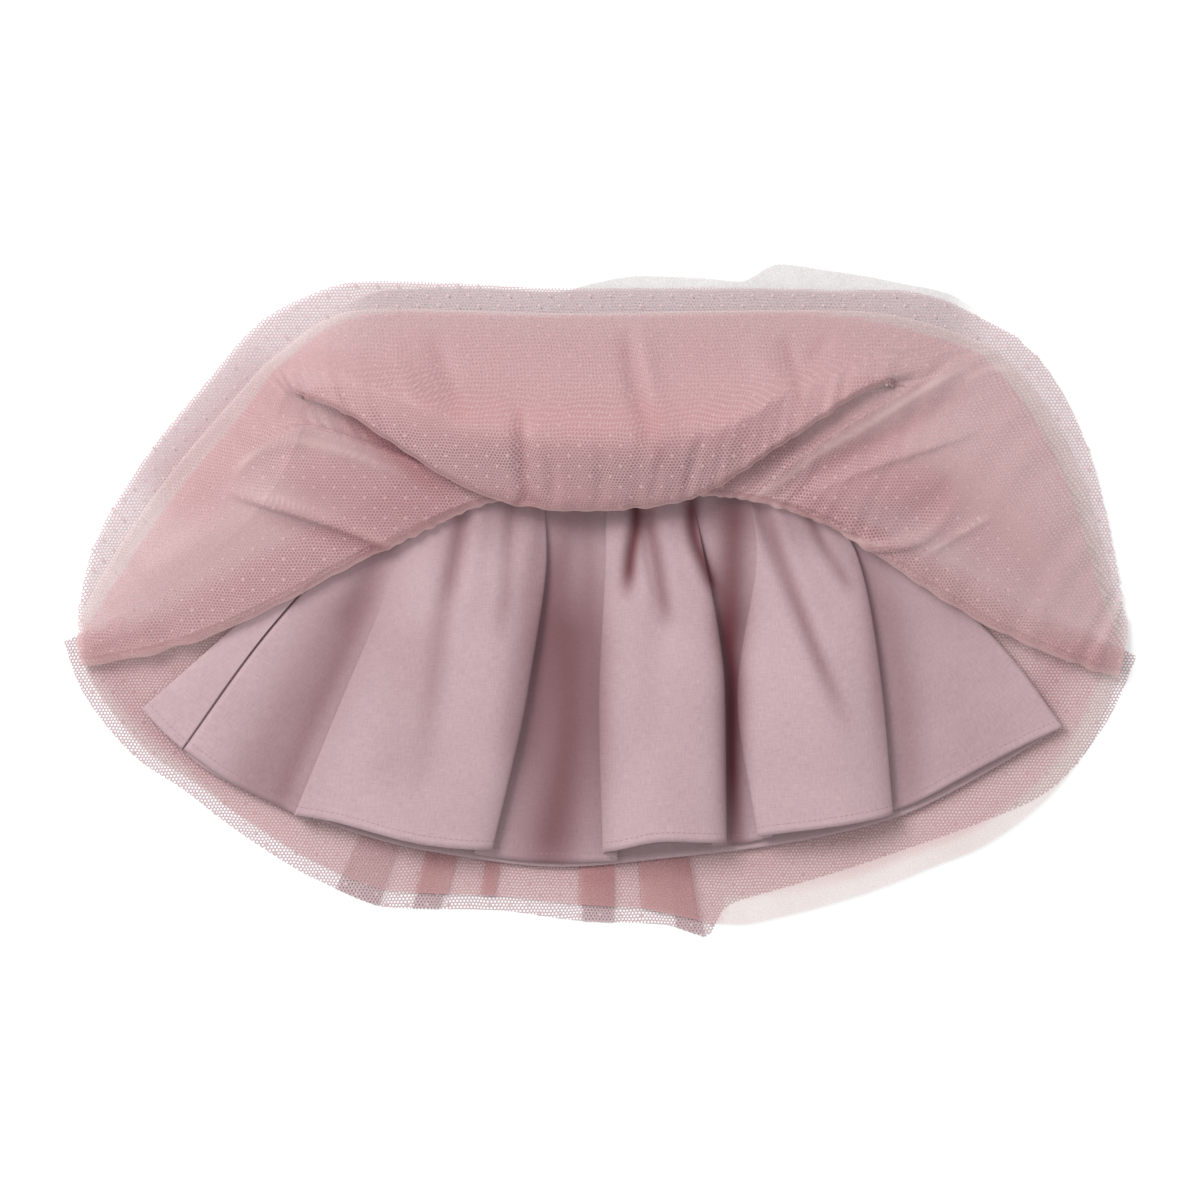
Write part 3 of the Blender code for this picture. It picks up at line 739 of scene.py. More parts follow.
def stitch_tree():
    """Geometry Nodes that lay stitches end to end along a line."""
    inputs = {"Line": "Geometry", "Apart": "Float", "Length": "Float", "Width": "Float", "Thread": "Material"}
    tree, sockets, given = node_group("stitches", inputs, "Stitches")
    line = add(tree, "GeometryNodeMeshToCurve", {"Mesh": given["Line"]}).outputs[0]
    spaced = add(tree, "GeometryNodeResampleCurve", {"Curve": line, "Length": given["Apart"]}, mode="LENGTH")
    way = add(tree, "GeometryNodeInputTangent").outputs[0]
    turned = add(tree, "FunctionNodeAlignRotationToVector", {"Vector": way}, axis="X").outputs[0]
    size = add(tree, "ShaderNodeCombineXYZ", {"X": given["Length"], "Y": given["Width"], "Z": given["Width"]})
    stitch = add(tree, "GeometryNodeMeshIcoSphere", {"Radius": 0.5, "Subdivisions": 1}).outputs["Mesh"]
    spread = add(
        tree,
        "GeometryNodeInstanceOnPoints",
        {"Points": spaced.outputs[0], "Instance": stitch, "Rotation": turned, "Scale": size.outputs[0]},
    ).outputs[0]
    real = add(tree, "GeometryNodeRealizeInstances", {"Geometry": spread}).outputs[0]
    done = add(tree, "GeometryNodeSetMaterial", {"Geometry": real, "Material": given["Thread"]}).outputs[0]
    add(tree, "NodeGroupOutput", {0: done})
    return tree, sockets


stitch_nodes, stitch_sockets = stitch_tree()


def stitched(name, points, apart, length, width, material):
    """A row of stitches along points in millimetres."""
    mesh = bpy.data.meshes.new(name + "_line")
    edges = [(i, i + 1) for i in range(len(points) - 1)]
    mesh.from_pydata((np.array(points) * MM).tolist(), edges, [])
    line = bpy.data.objects.new(name + "_line", mesh)
    values = {
        stitch_sockets["Apart"]: apart,
        stitch_sockets["Length"]: length,
        stitch_sockets["Width"]: width,
        stitch_sockets["Thread"]: material,
    }
    row = built_on(line, name, stitch_nodes, values)
    bpy.data.objects.remove(line, do_unlink=True)
    return row


def hem_line(grid):
    """The line of a hem's topstitching, just proud of the cloth."""
    run = lengths_along(grid, 1)
    from_end = run[:, -1:] - run
    proud = grid + mitres(grid) * STITCH_PROUD * np.sign(mitres(grid)[..., 2:])
    return [
        [np.interp(LINING_HEM, from_end[c, ::-1], proud[c, ::-1, axis]) for axis in range(3)]
        for c in range(len(grid))
    ]


# Cotton voile in dusty mauve: matt and finely woven, so its folds show only as soft light and shade.
# Inside the pleats it is darkened further with painted shade.
voile = voile_finish("cotton voile", "#bba1a5", "#a88e93", "#5c2b33")
# Spun polyester thread, a shade deeper than the voile, so that the stitches just show.
thread, _, thread_shader = finish("polyester thread")
thread_shader.inputs["Base Color"].default_value = linear("#a3868a")
thread_shader.inputs["Roughness"].default_value = 0.6

back_lines = []
for row in named_rows(LINING_BACK_COLUMNS, LINING_BACK):
    height = row["height"]
    seam = (row["seam"], SEAM_Y, min(height, HIGHEST_AT_SEAM))
    back_lines.append((seam, (*row["middle"], height), (*row["hem"], height)))
back_lines = np.array(back_lines, float)
back_lines[:WRAP_LINES, 0, 2] = WRAP_SEAM_HEIGHTS
lines_across, lines_down = LINING_BACK_STEPS
back_grid = hemmed(along(between_rows(back_lines, lines_across), lines_down))
lining_back = cloth("back_lining", back_grid, voile, COTTON)
wrap_line = hem_line(back_grid[: WRAP_LINES * lines_across])
back_stitches = stitched("back_hem_stitches", wrap_line, STITCH_APART, STITCH_LENGTH, STITCH_WIDTH, thread)
for piece in (lining_back, back_stitches):
    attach(piece, "root")
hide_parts("lining_back")

# ------------------------------------------------------------------------------------------------------
# The front lining: the same voile, gathered tightly at the waist, from which it falls in three deep pleats
# between two plain panels. Smaller creases start at the gathers and die out down the cloth. A dark thread
# draws it to the back lining along the left side seam.
# ------------------------------------------------------------------------------------------------------
SEAM_GAP = 0.3
LINING_FRONT_STEPS = (9, 26)  # across, from each line to the next, and down
SIDE_STITCH_APART = 1.2 * MM
SIDE_STITCH_LENGTH = 1.6 * MM
SIDE_STITCH_WIDTH = 0.9 * MM
SIDE_STITCH_POINTS = 40
LINING_COLUMNS = ("name", "seam", "upper", "middle", "hem")
LINING_FRONT = (
    ("side seam", (-108, 10.2), (-140, 30, 7.5), (-187, -24, 6.8), (-229, -82, 6.4)),
    ("left panel", (-101, 10.5), (-127, 29, 8.0), (-168, -35, 8.0), (-204, -100, 7.8)),
    ("left panel end", (-97, 10.4), (-117, 27, 7.9), (-152, -44, 6.2), (-180, -112, 5.8)),
    ("pleat one tuck", (-94, 10.4), (-111, 26, 8.6), (-134, -50, 7.8), (-159, -122, 7.6)),
    ("pleat one edge", (-91, 10.5), (-107, 26, 9.4), (-140, -49, 10.6), (-169, -118, 10.6)),
    ("pleat one rise", (-85, 11.0), (-99, 27, 11.0), (-124, -49, 14.0), (-148, -121, 14.0)),
    ("pleat one crown", (-68, 12.0), (-80, 31, 13.0), (-88, -54, 20.0), (-99, -134, 17.5)),
    ("pleat one fall", (-46, 12.0), (-50, 30, 13.0), (-54.5, -54, 18.0), (-68, -137, 15.5)),
    ("pleat one side", (-33, 11.5), (-29, 25, 12.0), (-39, -51, 13.0), (-58.5, -137, 11.5)),
    ("valley one tuck", (-29, 10.8), (-31, 25, 9.8), (-47, -53, 9.2), (-70, -139, 8.4)),
    ("valley one start", (-25, 10.4), (-27, 24, 7.6), (-37, -58, 6.2), (-56, -142, 5.6)),
    ("valley one floor", (-12, 10.2), (-12, 24, 7.2), (-19, -62, 5.8), (-27, -145, 5.5)),
    ("valley one end", (-2, 10.3), (3, 24, 7.6), (2, -62, 6.0), (3, -144, 5.6)),
    ("pleat two tuck", (1, 10.7), (6, 24, 9.6), (7, -60, 8.4), (10, -143, 8.2)),
    ("pleat two edge", (4, 11.2), (3, 24, 12.0), (-1, -58, 12.4), (1, -139, 11.6)),
    ("pleat two rise", (10, 12.0), (12, 25, 13.8), (11, -57, 18.0), (11, -137, 15.6)),
    ("pleat two crown", (23, 12.2), (27, 26, 14.6), (32, -55, 23.0), (35, -132, 20.0)),
    ("pleat two fall", (38, 12.0), (45, 26, 13.8), (57, -53, 20.5), (60, -133, 18.0)),
    ("pleat two side", (47, 11.4), (57, 26, 12.0), (69, -51, 13.6), (70, -133, 12.6)),
    ("valley two tuck", (51, 10.8), (55, 26, 9.8), (63, -52, 9.2), (61, -135, 8.8)),
    ("valley two start", (57, 10.4), (62, 25, 7.6), (69, -53, 6.2), (71, -135, 5.8)),
    ("valley two end", (72, 10.4), (84, 24, 7.6), (79, -53, 6.2), (88, -132, 5.8)),
    ("pleat three tuck", (77, 10.8), (88, 24, 9.6), (83, -53, 8.6), (95, -130, 8.4)),
    ("pleat three edge", (81, 11.3), (86, 24, 12.0), (75, -52, 12.6), (86, -130, 12.0)),
    ("pleat three rise", (85, 11.8), (95, 25, 13.0), (87, -53, 18.5), (98, -128, 16.0)),
    ("pleat three crown", (92, 12.0), (112, 25, 13.2), (117, -54, 22.0), (129, -124, 20.0)),
    ("pleat three fall", (97, 11.6), (131, 26, 12.4), (146, -50, 17.0), (156, -119, 16.0)),
    ("pleat three side", (99, 11.2), (140, 28, 12.0), (155, -48, 12.4), (161, -117, 11.6)),
    ("right panel tuck", (101, 10.8), (138, 27, 9.8), (149, -50, 9.0), (152, -117, 8.4)),
    ("right panel start", (103, 10.4), (143, 26, 8.2), (158, -50, 6.4), (166, -115, 5.8)),
    ("right panel", (105, 10.4), (156, 21, 8.4), (185, -46, 7.6), (197, -99, 7.6)),
    ("right panel end", (106.5, 10.3), (168, 18, 8.0), (209, -38, 7.4), (235, -79, 7.2)),
    ("right edge", (108, 10.2), (178, 16, 6.8), (225, -30, 5.8), (255, -70, 5.6)),
)
CREASE_COLUMNS = ("name", "path", "width", "height", "lean")
LINING_CREASES = (
    ("pleat one gather", ((-76, 60), (-75, 42), (-84, -4), (-88, -34)), 4.5, -2.6, (0, 0)),
    ("pleat one ridge", ((-68, 60), (-66, 42), (-72, 0), (-78, -30)), 5.0, 1.6, (0, 0)),
    ("pleat one nip", ((-48, 60), (-48, 44), (-49, 22)), 3.0, -2.4, (0, 0)),
    ("pleat one side ridge", ((-38, 60), (-37, 40), (-44, 0)), 4.0, 1.8, (0, 0)),
    ("left panel fold", ((-112, 48), (-124, 18), (-142, -22)), 6.0, -1.6, (0, 0)),
    ("pleat two gap", ((19, 60), (20, 46), (17, 24), (15, 4)), 3.6, -5.0, (0, 0)),
    ("pleat two second gap", ((25, 40), (27, 22), (31, 3), (29, -9)), 3.0, -3.2, (0, 0)),
    ("pleat two ridge", ((34, 60), (36, 42), (42, 4), (44, -24)), 6.0, 1.6, (0, 0)),
    ("pleat two crease", ((50, 60), (51, 40), (58, 18), (65, 4)), 3.6, -4.0, (0, 0)),
    ("pleat two lower", ((34, -14), (28, -52), (30, -84)), 8.0, -1.2, (0, 0)),
    ("pleat three crease", ((86, 60), (98, 22), (108, 0), (118, -24), (124, -44)), 4.5, -3.4, (0, 0)),
    ("pleat three ridge", ((94, 60), (108, 20), (120, -8), (134, -36)), 6.0, 1.8, (0, 0)),
    ("pleat three nip", ((112, 52), (120, 40), (128, 16)), 3.2, -2.4, (0, 0)),
    ("right panel nip", ((128, 44), (146, 16), (158, -10)), 5.0, -1.4, (0, 0)),
    ("valley one fold", ((-20, 50), (-22, 10), (-34, -70)), 5.0, 1.0, (0, 0)),
)
# Painted shade: strokes along which the voile is darkened, down the valleys and gaps between the pleats,
# beside the creases, on the panels and under the flap's lip.
LINING_PAINTED_SHADE = (
    ("valley one side", ((-6, 74), (-20, 36), (-26, 4), (-32, -30), (-35, -64), (-42, -98), (-72, -230)),
     9, 0.5),
    ("valley one floor", ((-18, 50), (-17, -10), (-17, -60), (-21, -100), (-28, -139), (-50, -260)), 20, 0.8),
    ("valley one right", ((-2, 84), (-6, 30), (-5, 0), (-2, -60), (0, -230)), 7, 0.3),
    ("pleat one side", ((-32, 70), (-38, 10), (-46, -50), (-54, -110)), 8, 0.25),
    ("pleat one gather", ((-74, 60), (-77, 40), (-83, 11), (-88, -20), (-93, -57), (-104, -130)), 7, 0.3),
    ("pleat one deep gather", ((-75, 64), (-78, 34), (-86, -8)), 4.5, 0.3),
    ("pleat one nip", ((-48, 64), (-51, 30), (-52, 6), (-57, -30)), 4.5, 0.32),
    ("pleat one shade", ((-98, 0), (-108, -56), (-122, -120)), 15, 0.15),
    ("left panel", ((-118, 50), (-150, -30), (-180, -84), (-206, -150)), 24, 0.42),
    ("left panel end", ((-104, 52), (-138, -20), (-166, -84), (-190, -150)), 7, 0.35),
    ("left panel fold", ((-118, 44), (-130, 14), (-148, -24)), 7, 0.22),
    ("under the lip", ((-150, 14), (-66, 46), (-20, 50), (60, 50), (100, 44), (190, 0)), 14, 0.3),
    ("pleat two gap", ((20, 70), (20, 44), (17, 24), (14, -4)), 4.2, 0.95),
    ("pleat two second gap", ((24, 62), (29, 34), (33, 10), (37, -20)), 4.6, 0.6),
    ("pleat two long fold", ((30, 10), (28, -30), (24, -100)), 11, 0.08),
    ("pleat two crease", ((49, 72), (51, 40), (58, 18), (68, -4)), 4.4, 0.9),
    ("valley two", ((74, 80), (73, 30), (73, 0), (72, -40)), 10, 0.78),
    ("valley two deep", ((64, 34), (71, -22), (73, -50), (73, -90), (82, -240)), 7, 0.98),
    ("pleat three crease", ((84, 66), (97, 28), (107, 1), (120, -33), (140, -82)), 4.6, 0.5),
    ("pleat three nip", ((110, 50), (120, 34), (130, 18), (140, 0)), 4.0, 0.4),
    ("pleat three side", ((138, 40), (150, -10), (154, -90)), 5, 0.25),
    ("right panel", ((142, 50), (160, -20), (166, -60), (172, -170)), 12, 0.4),
    ("right panel wide", ((176, 30), (196, -50), (210, -120)), 34, 0.16),
)  # fmt: skip


def creased(grid, table, part=slice(None), open_start=False):
    """Soft troughs and ridges laid on the cloth. Each fades out at its ends, and leans over to one side."""
    grid = grid.copy()
    places = grid[:, part, :2].copy()
    for row in named_rows(CREASE_COLUMNS, table):
        apart, share = paths_near(places, row["path"])
        if open_start:
            fade = np.cos(np.pi / 2 * share) ** 0.8
        else:
            fade = np.sin(np.pi * share) ** 0.8
        profile = np.exp(-((apart / row["width"]) ** 2)) * fade
        grid[:, part, 2] += row["height"] * profile
        grid[:, part, :2] += profile[..., None] * np.array(row["lean"], float)
    return grid


# The same thread in a darker dye: it reads as a thin dark line between the two linings.
dark_thread, _, dark_shader = finish("dark polyester thread")
dark_shader.inputs["Base Color"].default_value = linear("#6d4f57")
dark_shader.inputs["Roughness"].default_value = 0.7

lining_lines = []
for row in named_rows(LINING_COLUMNS, LINING_FRONT):
    x, z = row["seam"]
    lining_lines.append(((x, SEAM_Y - SEAM_GAP, z), row["upper"], row["middle"], row["hem"]))
lines_across, lines_down = LINING_FRONT_STEPS
front_grid = along(softened(between_rows(lining_lines, lines_across), 2), lines_down)
front_grid = hemmed(creased(front_grid, LINING_CREASES, open_start=True))
lining_front = cloth("front_lining", front_grid, voile, COTTON, hollow=marked(front_grid, LINING_PAINTED_SHADE))
front_line = hem_line(front_grid)
front_stitches = stitched("front_hem_stitches", front_line, STITCH_APART, STITCH_LENGTH, STITCH_WIDTH, thread)
side_lines = [
    grid[0, np.linspace(0, grid.shape[1] - 1, SIDE_STITCH_POINTS).astype(int)]
    for grid in (back_grid, front_grid)
]
side_stitches = stitched(
    "side_seam_thread",
    (side_lines[0] + side_lines[1]) / 2,
    SIDE_STITCH_APART,
    SIDE_STITCH_LENGTH,
    SIDE_STITCH_WIDTH,
    dark_thread,
)
for piece in (lining_front, front_stitches, side_stitches):
    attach(piece, "root")
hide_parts("lining_front")

# ------------------------------------------------------------------------------------------------------
# The waistband: a casing of the same cotton over wide elastic, closed in a ring and ruched by the pull of
# the elastic. It lies hidden under the turned-up front.
# ------------------------------------------------------------------------------------------------------
BAND_WALL = 3.2
BAND_CLOTH = BAND_WALL - 1.0
BAND_ROWS = 12
BAND_COLUMNS = 361
RUCHES = 90
SLOW_RUCHES = 37  # these make the others uneven
RUCHE_DEPTH = 0.35

band_low, band_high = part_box("waistband")
band_width = (band_high.x - band_low.x) / MM
band_depth = (band_high.z - band_low.z) / MM
band_ys = np.linspace(band_low.y / MM + 0.1, band_high.y / MM - 0.1, BAND_ROWS)
band_radius = band_depth / 2
straight = band_width / 2 - band_radius
ring_run = np.linspace(0, 1, BAND_COLUMNS)


def racetrack(share, radius):
    """A point on a flattened ring, with round ends of this radius, at a share of the way round."""
    bend = math.pi * radius
    whole = 2 * bend + 4 * straight
    at = (share * whole) % whole
    if at < 2 * straight:
        return (at - straight, radius)
    if at < 2 * straight + bend:
        turn = (at - 2 * straight) / radius
        return (straight + radius * math.sin(turn), radius * math.cos(turn))
    if at < 4 * straight + bend:
        return (straight - (at - 2 * straight - bend), -radius)
    turn = (at - 4 * straight - bend) / radius
    return (-straight - radius * math.sin(turn), -radius * math.cos(turn))


band_grid = np.zeros((len(ring_run), len(band_ys), 3))
for column, share in enumerate(ring_run):
    for line, y in enumerate(band_ys):
        pinch = math.cos(share * math.tau * RUCHES) + 0.4 * math.sin(share * math.tau * SLOW_RUCHES + 2.0)
        edge = math.sin(math.pi * line / (len(band_ys) - 1))
        x, z = racetrack(share, band_radius - BAND_WALL / 2 - RUCHE_DEPTH * (0.7 - 0.5 * pinch * edge))
        band_grid[column, line] = (x, y, z + band_radius)
waistband = cloth("waist_casing", band_grid, voile, BAND_CLOTH)
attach(waistband, "root")
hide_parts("waistband")

# ------------------------------------------------------------------------------------------------------
# The front tulle: fine tulle stitched to the face of the waistband, drawn down over the lining, turned and
# laid back up past the waist, where its middle droops forward again in a flap. At the two sides it puffs.
# ------------------------------------------------------------------------------------------------------
TULLE = 1.0
LAYER_GAP = 0.5
FRONT_SEAM_Y = SEAM_Y + 2.0
FRONT_SEAM_Z = 13.1
FRONT_HEM_Z = 3.2
LEG_SHARE = 0.5  # of the way from the seam to the turn
SLOPE_SHARE = 0.5  # of the way from the crown to the hem
SLOPE_RISE = 0.34  # how much of the crown's height is left there
TURN_RADIUS = 2.5
TUCK_RADIUS = 2.0
EDGE_RADIUS = 4.0
NEIGHBOUR_SHARE = 0.32  # of the way to the next point, the most that a rounded fold takes up
FRONT_COLUMNS = ("name", "seam", "turn", "crest", "tuck", "edge", "crown", "hem", "net_past")
FRONT = (
    ("left corner", -107, (-286, -37, 6), (-287, -30, 8.5), (-288, -25, 7.5), (-288, -21, 6.5),
     (-288, -17, 5.5), (-288, -11), 7),
    ("left low", -104, (-235, -28, 9.5), (-243, -12, 12), (-251, 0, 10.5), (-258, 9, 8.5),
     (-264, 16, 6), (-270, 22), 14),
    ("left side", -98, (-176, -3, 12), (-188, 20, 15), (-199, 36, 14), (-210, 50, 11.5),
     (-223, 63, 7.5), (-235, 73), 17),
    ("left puff", -90, (-132, 21, 14), (-150, 52, 19), (-168, 78, 20), (-181, 93, 14),
     (-190, 103, 9), (-200, 113), 18),
    ("flap start", -84, (-110, 31, 16), (-144, 78, 21), (-162, 106, 16), (-172, 116, 15),
     (-179, 124, 12), (-184, 131), 20),
    ("flap shoulder", -78, (-93, 39, 16.5), (-128, 79, 20.5), (-151, 117, 17), (-161, 110, 22),
     (-168, 127, 18), (-173, 139), 22),
    ("flap upper edge", -70, (-77, 47, 17), (-108, 75, 20), (-130, 116, 18.5), (-142, 104, 25.5),
     (-151, 126, 22), (-154, 154), 17),
    ("flap edge", -60, (-60, 53, 17.5), (-86, 69, 20), (-98, 102, 20.5), (-110, 83, 27.5),
     (-120, 113, 28), (-129, 161), 16),
    ("flap corner", -42, (-36, 57, 17.5), (-46, 71, 20.5), (-52, 93, 22), (-60, 54, 27),
     (-68, 90, 35), (-82, 160), 16),
    ("lip left", -12, (-12, 58, 17.5), (-12, 71, 20.5), (-12, 89, 22), (-18, 48, 26.5),
     (-20, 84, 37), (-24, 158), 14),
    ("lip middle", 18, (15, 58, 17.5), (15, 71, 20.5), (15, 88, 22), (14, 49, 26.5),
     (18, 83, 37), (35, 159), 14),
    ("lip right", 44, (40, 58, 17.5), (42, 71, 20.5), (44, 89, 22), (44, 53, 26.5),
     (51, 86, 36), (88, 160), 14),
    ("right flap corner", 56, (57, 57, 17.5), (63, 70, 20.5), (68, 93, 21.5), (66, 62, 27),
     (75, 95, 33.5), (124, 160), 14),
    ("right flap edge", 66, (72, 56, 17.5), (88, 68, 20), (87, 98, 20.5), (92, 80, 27),
     (98, 108, 29), (149, 159), 18),
    ("right upper edge", 76, (92, 52, 18), (112, 74, 20.5), (115, 110, 18.5), (119, 97, 25.5),
     (125, 120, 24), (172, 155), 20),
    ("right shoulder", 86, (114, 45, 18.5), (138, 84, 21), (143, 123, 17), (146, 115, 22),
     (152, 133, 18), (192, 149), 19),
    ("right flap end", 92, (140, 33, 18), (166, 90, 20), (176, 113, 16), (183, 124, 14),
     (190, 134, 11), (215, 140), 18),
    ("right puff", 97, (165, 15, 16.5), (192, 74, 19), (206, 96, 15), (217, 107, 12),
     (227, 114, 8), (238, 119), 13),
    ("right side", 102, (213, -15, 12), (228, 18, 14.5), (240, 37, 12.5), (250, 49, 10),
     (259, 58, 7), (267, 66), 10),
    ("right low", 105, (255, -33, 9), (263, -18, 10.5), (268, -8, 9.5), (273, -1, 8),
     (277, 4, 6), (281, 9), 8),
    ("right corner", 107, (285, -43, 6), (287, -36, 8.5), (288, -31, 7.5), (289, -27, 6.5),
     (290, -23, 5.5), (290, -17), 6),
)  # fmt: skip
FRONT_ACROSS = 24  # lines of cloth from each row of the table to the next
FRONT_STEPS = (6, 6, 3, 3, 22, 22, 3, 3, 7, 4, 4, 9, 12, 12)  # from each point of a row down to the next
FRONT_SOFTNESS = 8
TURN_POINT, TUCK_POINT, EDGE_POINT = 3, 7, 10
FLAP_ENDS = (-172, -130, 120, 180)  # across: where it starts, is whole from, is whole to, and ends
PLY_STEP = (1.0, 9.0)  # how much shorter one ply is cut, at the middle and at the sides
PLY_STEP_PLACES = (110, 190)
GATHER_HEIGHTS = (0.5, 0.55)  # of the small folds at the turned edge and at the flap's
GATHER_REACHES = (22, 30)
# At those rims the threads really crowd, and their paler colour there is a painted highlight.
RIM_SHARE = 0.8  # how far the threads crowd together at those two edges
RIM_WIDTHS = (2.2, 2.4)
TUCK_FADE = 0.9  # how far the flap's hidden tuck is thinned, so that it doesn't show through
TUCK_REACH = 12
SIDE_FADE = 58  # lines of cloth over which the hidden leg's two side edges are thinned, for the same reason
PUFF_CREASES = (
    ("left rolled fold", ((-206, 66), (-186, 84), (-164, 89), (-138, 82), (-88, 66), (-58, 56)),
     5.0, 3.2, (3.5, 6)),
    ("left hollow", ((-176, 104), (-140, 97), (-100, 80), (-66, 62)), 8.0, -3.5, (0, 0)),
    ("left lower fold", ((-205, 62), (-192, 58), (-148, 44), (-104, 25)), 3.5, 2.2, (-2, -4)),
    ("left lower hollow", ((-190, 46), (-150, 34), (-114, 20)), 6.0, -2.0, (0, 0)),
    ("left side sweep", ((-262, 2), (-226, 30), (-190, 48)), 9.0, 1.6, (0, 0)),
    ("right rolled fold", ((84, 56), (118, 79), (145, 95), (170, 111), (224, 142)), 4.5, 3.4, (-2.5, 4.5)),
    ("right hollow", ((96, 54), (122, 70), (158, 91), (206, 118)), 6.0, -3.0, (0, 0)),
    ("right second fold", ((110, 60), (150, 76), (186, 88), (216, 98)), 4.0, 1.8, (1, -3)),
    ("right hook", ((132, 37), (151, 30), (168, 32), (181, 37), (192, 46)), 3.2, 2.6, (-1, -4)),
    ("right hook hollow", ((140, 48), (162, 44), (182, 54), (194, 68)), 7.0, -2.0, (0, 0)),
    ("right fine fold", ((178, 26), (196, 36), (214, 47)), 2.2, 1.6, (0, -2)),
    ("right side sweep", ((262, -10), (244, 30), (216, 66)), 9.0, 1.4, (0, 0)),
)  # fmt: skip
FLAP_CREASES = (
    ("lip crease left", ((-40, 52), (-42, 76), (-44, 108)), 4.0, -2.4, (0, 0)),
    ("lip tuck", ((-46, 50), (-40, 55), (-32, 50)), 3.0, -2.0, (0, 0)),
    ("lip crease", ((-26, 50), (-25, 64), (-29, 82)), 3.0, -1.6, (0, 0)),
    ("middle crease", ((14, 150), (20, 112), (30, 78)), 5.0, -2.4, (0, 0)),
    ("middle ridge", ((20, 156), (28, 118), (40, 84)), 6.0, 1.8, (0, 0)),
    ("middle small crease", ((-2, 50), (2, 66), (0, 84)), 3.5, -1.2, (0, 0)),
    ("right crease", ((100, 146), (106, 124), (108, 108)), 4.0, -1.8, (0, 0)),
    ("right ridge", ((84, 148), (92, 122), (88, 96)), 7.0, 1.4, (0, 0)),
    ("right soft crease", ((128, 148), (118, 132), (104, 116)), 5.0, -1.4, (0, 0)),
    ("left soft crease", ((-92, 150), (-84, 120), (-74, 92)), 7.0, -1.6, (0, 0)),
    ("left ridge", ((-116, 144), (-104, 118), (-88, 96)), 6.0, 1.4, (0, 0)),
    ("left corner crease", ((-150, 132), (-128, 124), (-104, 106)), 4.0, 1.5, (1, -2)),
    ("lip gather right", ((46, 52), (50, 70), (58, 92)), 3.5, -1.6, (0, 0)),
    ("lip gather middle", ((28, 49), (30, 64), (36, 84)), 3.0, -1.2, (0, 0)),
)
# Painted shade: strokes along which the front tulle is darkened, under the flap and the folds, in the hook
# and at the corners.
FRONT_PAINTED_SHADE = (
    ("left under the flap", ((-150, 110), (-128, 95), (-113, 82), (-97, 69), (-66, 52)), 8, 0.9),
    ("left under the fold", ((-192, 52), (-143, 35), (-104, 20)), 8, 0.6),
    ("left lobe", ((-176, 66), (-130, 60), (-66, 46)), 16, 0.5),
    ("right under the flap", ((72, 60), (96, 77), (114, 90), (132, 107), (160, 132)), 6, 0.12),
    ("right under the fold", ((104, 58), (122, 70), (140, 80), (160, 91), (182, 105), (214, 122)), 6, 0.75),
    ("right hook", ((136, 36), (154, 38), (177, 46), (189, 60), (192, 76)), 6, 0.5),
    ("right side", ((90, 50), (150, 56), (214, 40)), 19, 0.5),
    ("left corner", ((-292, -30), (-262, -22), (-230, -12)), 6, 0.4),
    ("right corner", ((292, -38), (262, -28), (236, -10)), 6, 0.4),
)
FRONT_THIN = (
    ("left fold", ((-200, 78), (-176, 74), (-120, 62), (-50, 48)), 15, 0.7),
    ("left band", ((-282, -26), (-210, 6), (-160, 30), (-90, 50)), 17, 0.7),
    ("right band", ((64, 54), (120, 66), (170, 48), (220, 16), (286, -34)), 22, 0.7),
    ("right folds", ((90, 66), (150, 100), (206, 130)), 12, 0.2),
)
FLAP_THIN = (
    ("flap left", ((-150, 108), (-100, 84), (-64, 74), (0, 70)), 15, 0.6),
    ("flap right", ((-40, 70), (30, 66), (74, 82), (120, 108)), 18, 0.6),
)
# Rims where the tulle turns over: its threads crowd there, and its paler colour there is a painted highlight.
FRONT_RIMS = (
    ("left rolled fold", ((-204, 66), (-197, 74), (-182, 85), (-170, 88), (-143, 82), (-108, 69), (-56, 49)),
     2.1, 0.6),
    ("left lower fold", ((-204, 62), (-170, 53), (-148, 44), (-126, 35), (-96, 22)), 2.1, 0.6),
    ("right rolled fold", ((80, 54), (98, 64), (118, 79), (145, 95), (170, 111), (192, 124), (224, 142)),
     2.3, 0.8),
    ("right fine fold", ((176, 24), (196, 36), (218, 49)), 1.4, 0.8),
    ("right hook", ((130, 37), (140, 33), (151, 31), (172, 36), (188, 46), (196, 66)), 1.9, 0.6),
    ("right outer fold", ((196, 118), (216, 128), (232, 124)), 2.0, 0.35),
)  # fmt: skip
# Painted shade on the flap: along its creases and under its lip.
FLAP_PAINTED_SHADE = (
    ("lip crease left", ((-40, 46), (-42, 76), (-44, 110)), 2.4, 0.55),
    ("lip tuck", ((-50, 50), (-40, 55), (-30, 51)), 1.8, 0.6),
    ("middle crease", ((12, 154), (20, 116), (32, 72)), 4.5, 0.4),
    ("middle soft crease", ((28, 110), (32, 90), (34, 66)), 3.5, 0.35),
    ("right crease", ((100, 150), (106, 124), (110, 100)), 2.6, 0.4),
    ("left soft crease", ((-96, 150), (-84, 120), (-70, 88)), 5.0, 0.2),
    ("lip shade", ((-140, 104), (-70, 58), (-18, 52), (14, 53), (66, 66), (110, 100)), 11, 0.18),
)


def horizontal(step):
    """A step's direction across the surface and its length there."""
    length = np.hypot(step[0], step[1])
    return np.array([step[0], step[1], 0.0]) / length, length


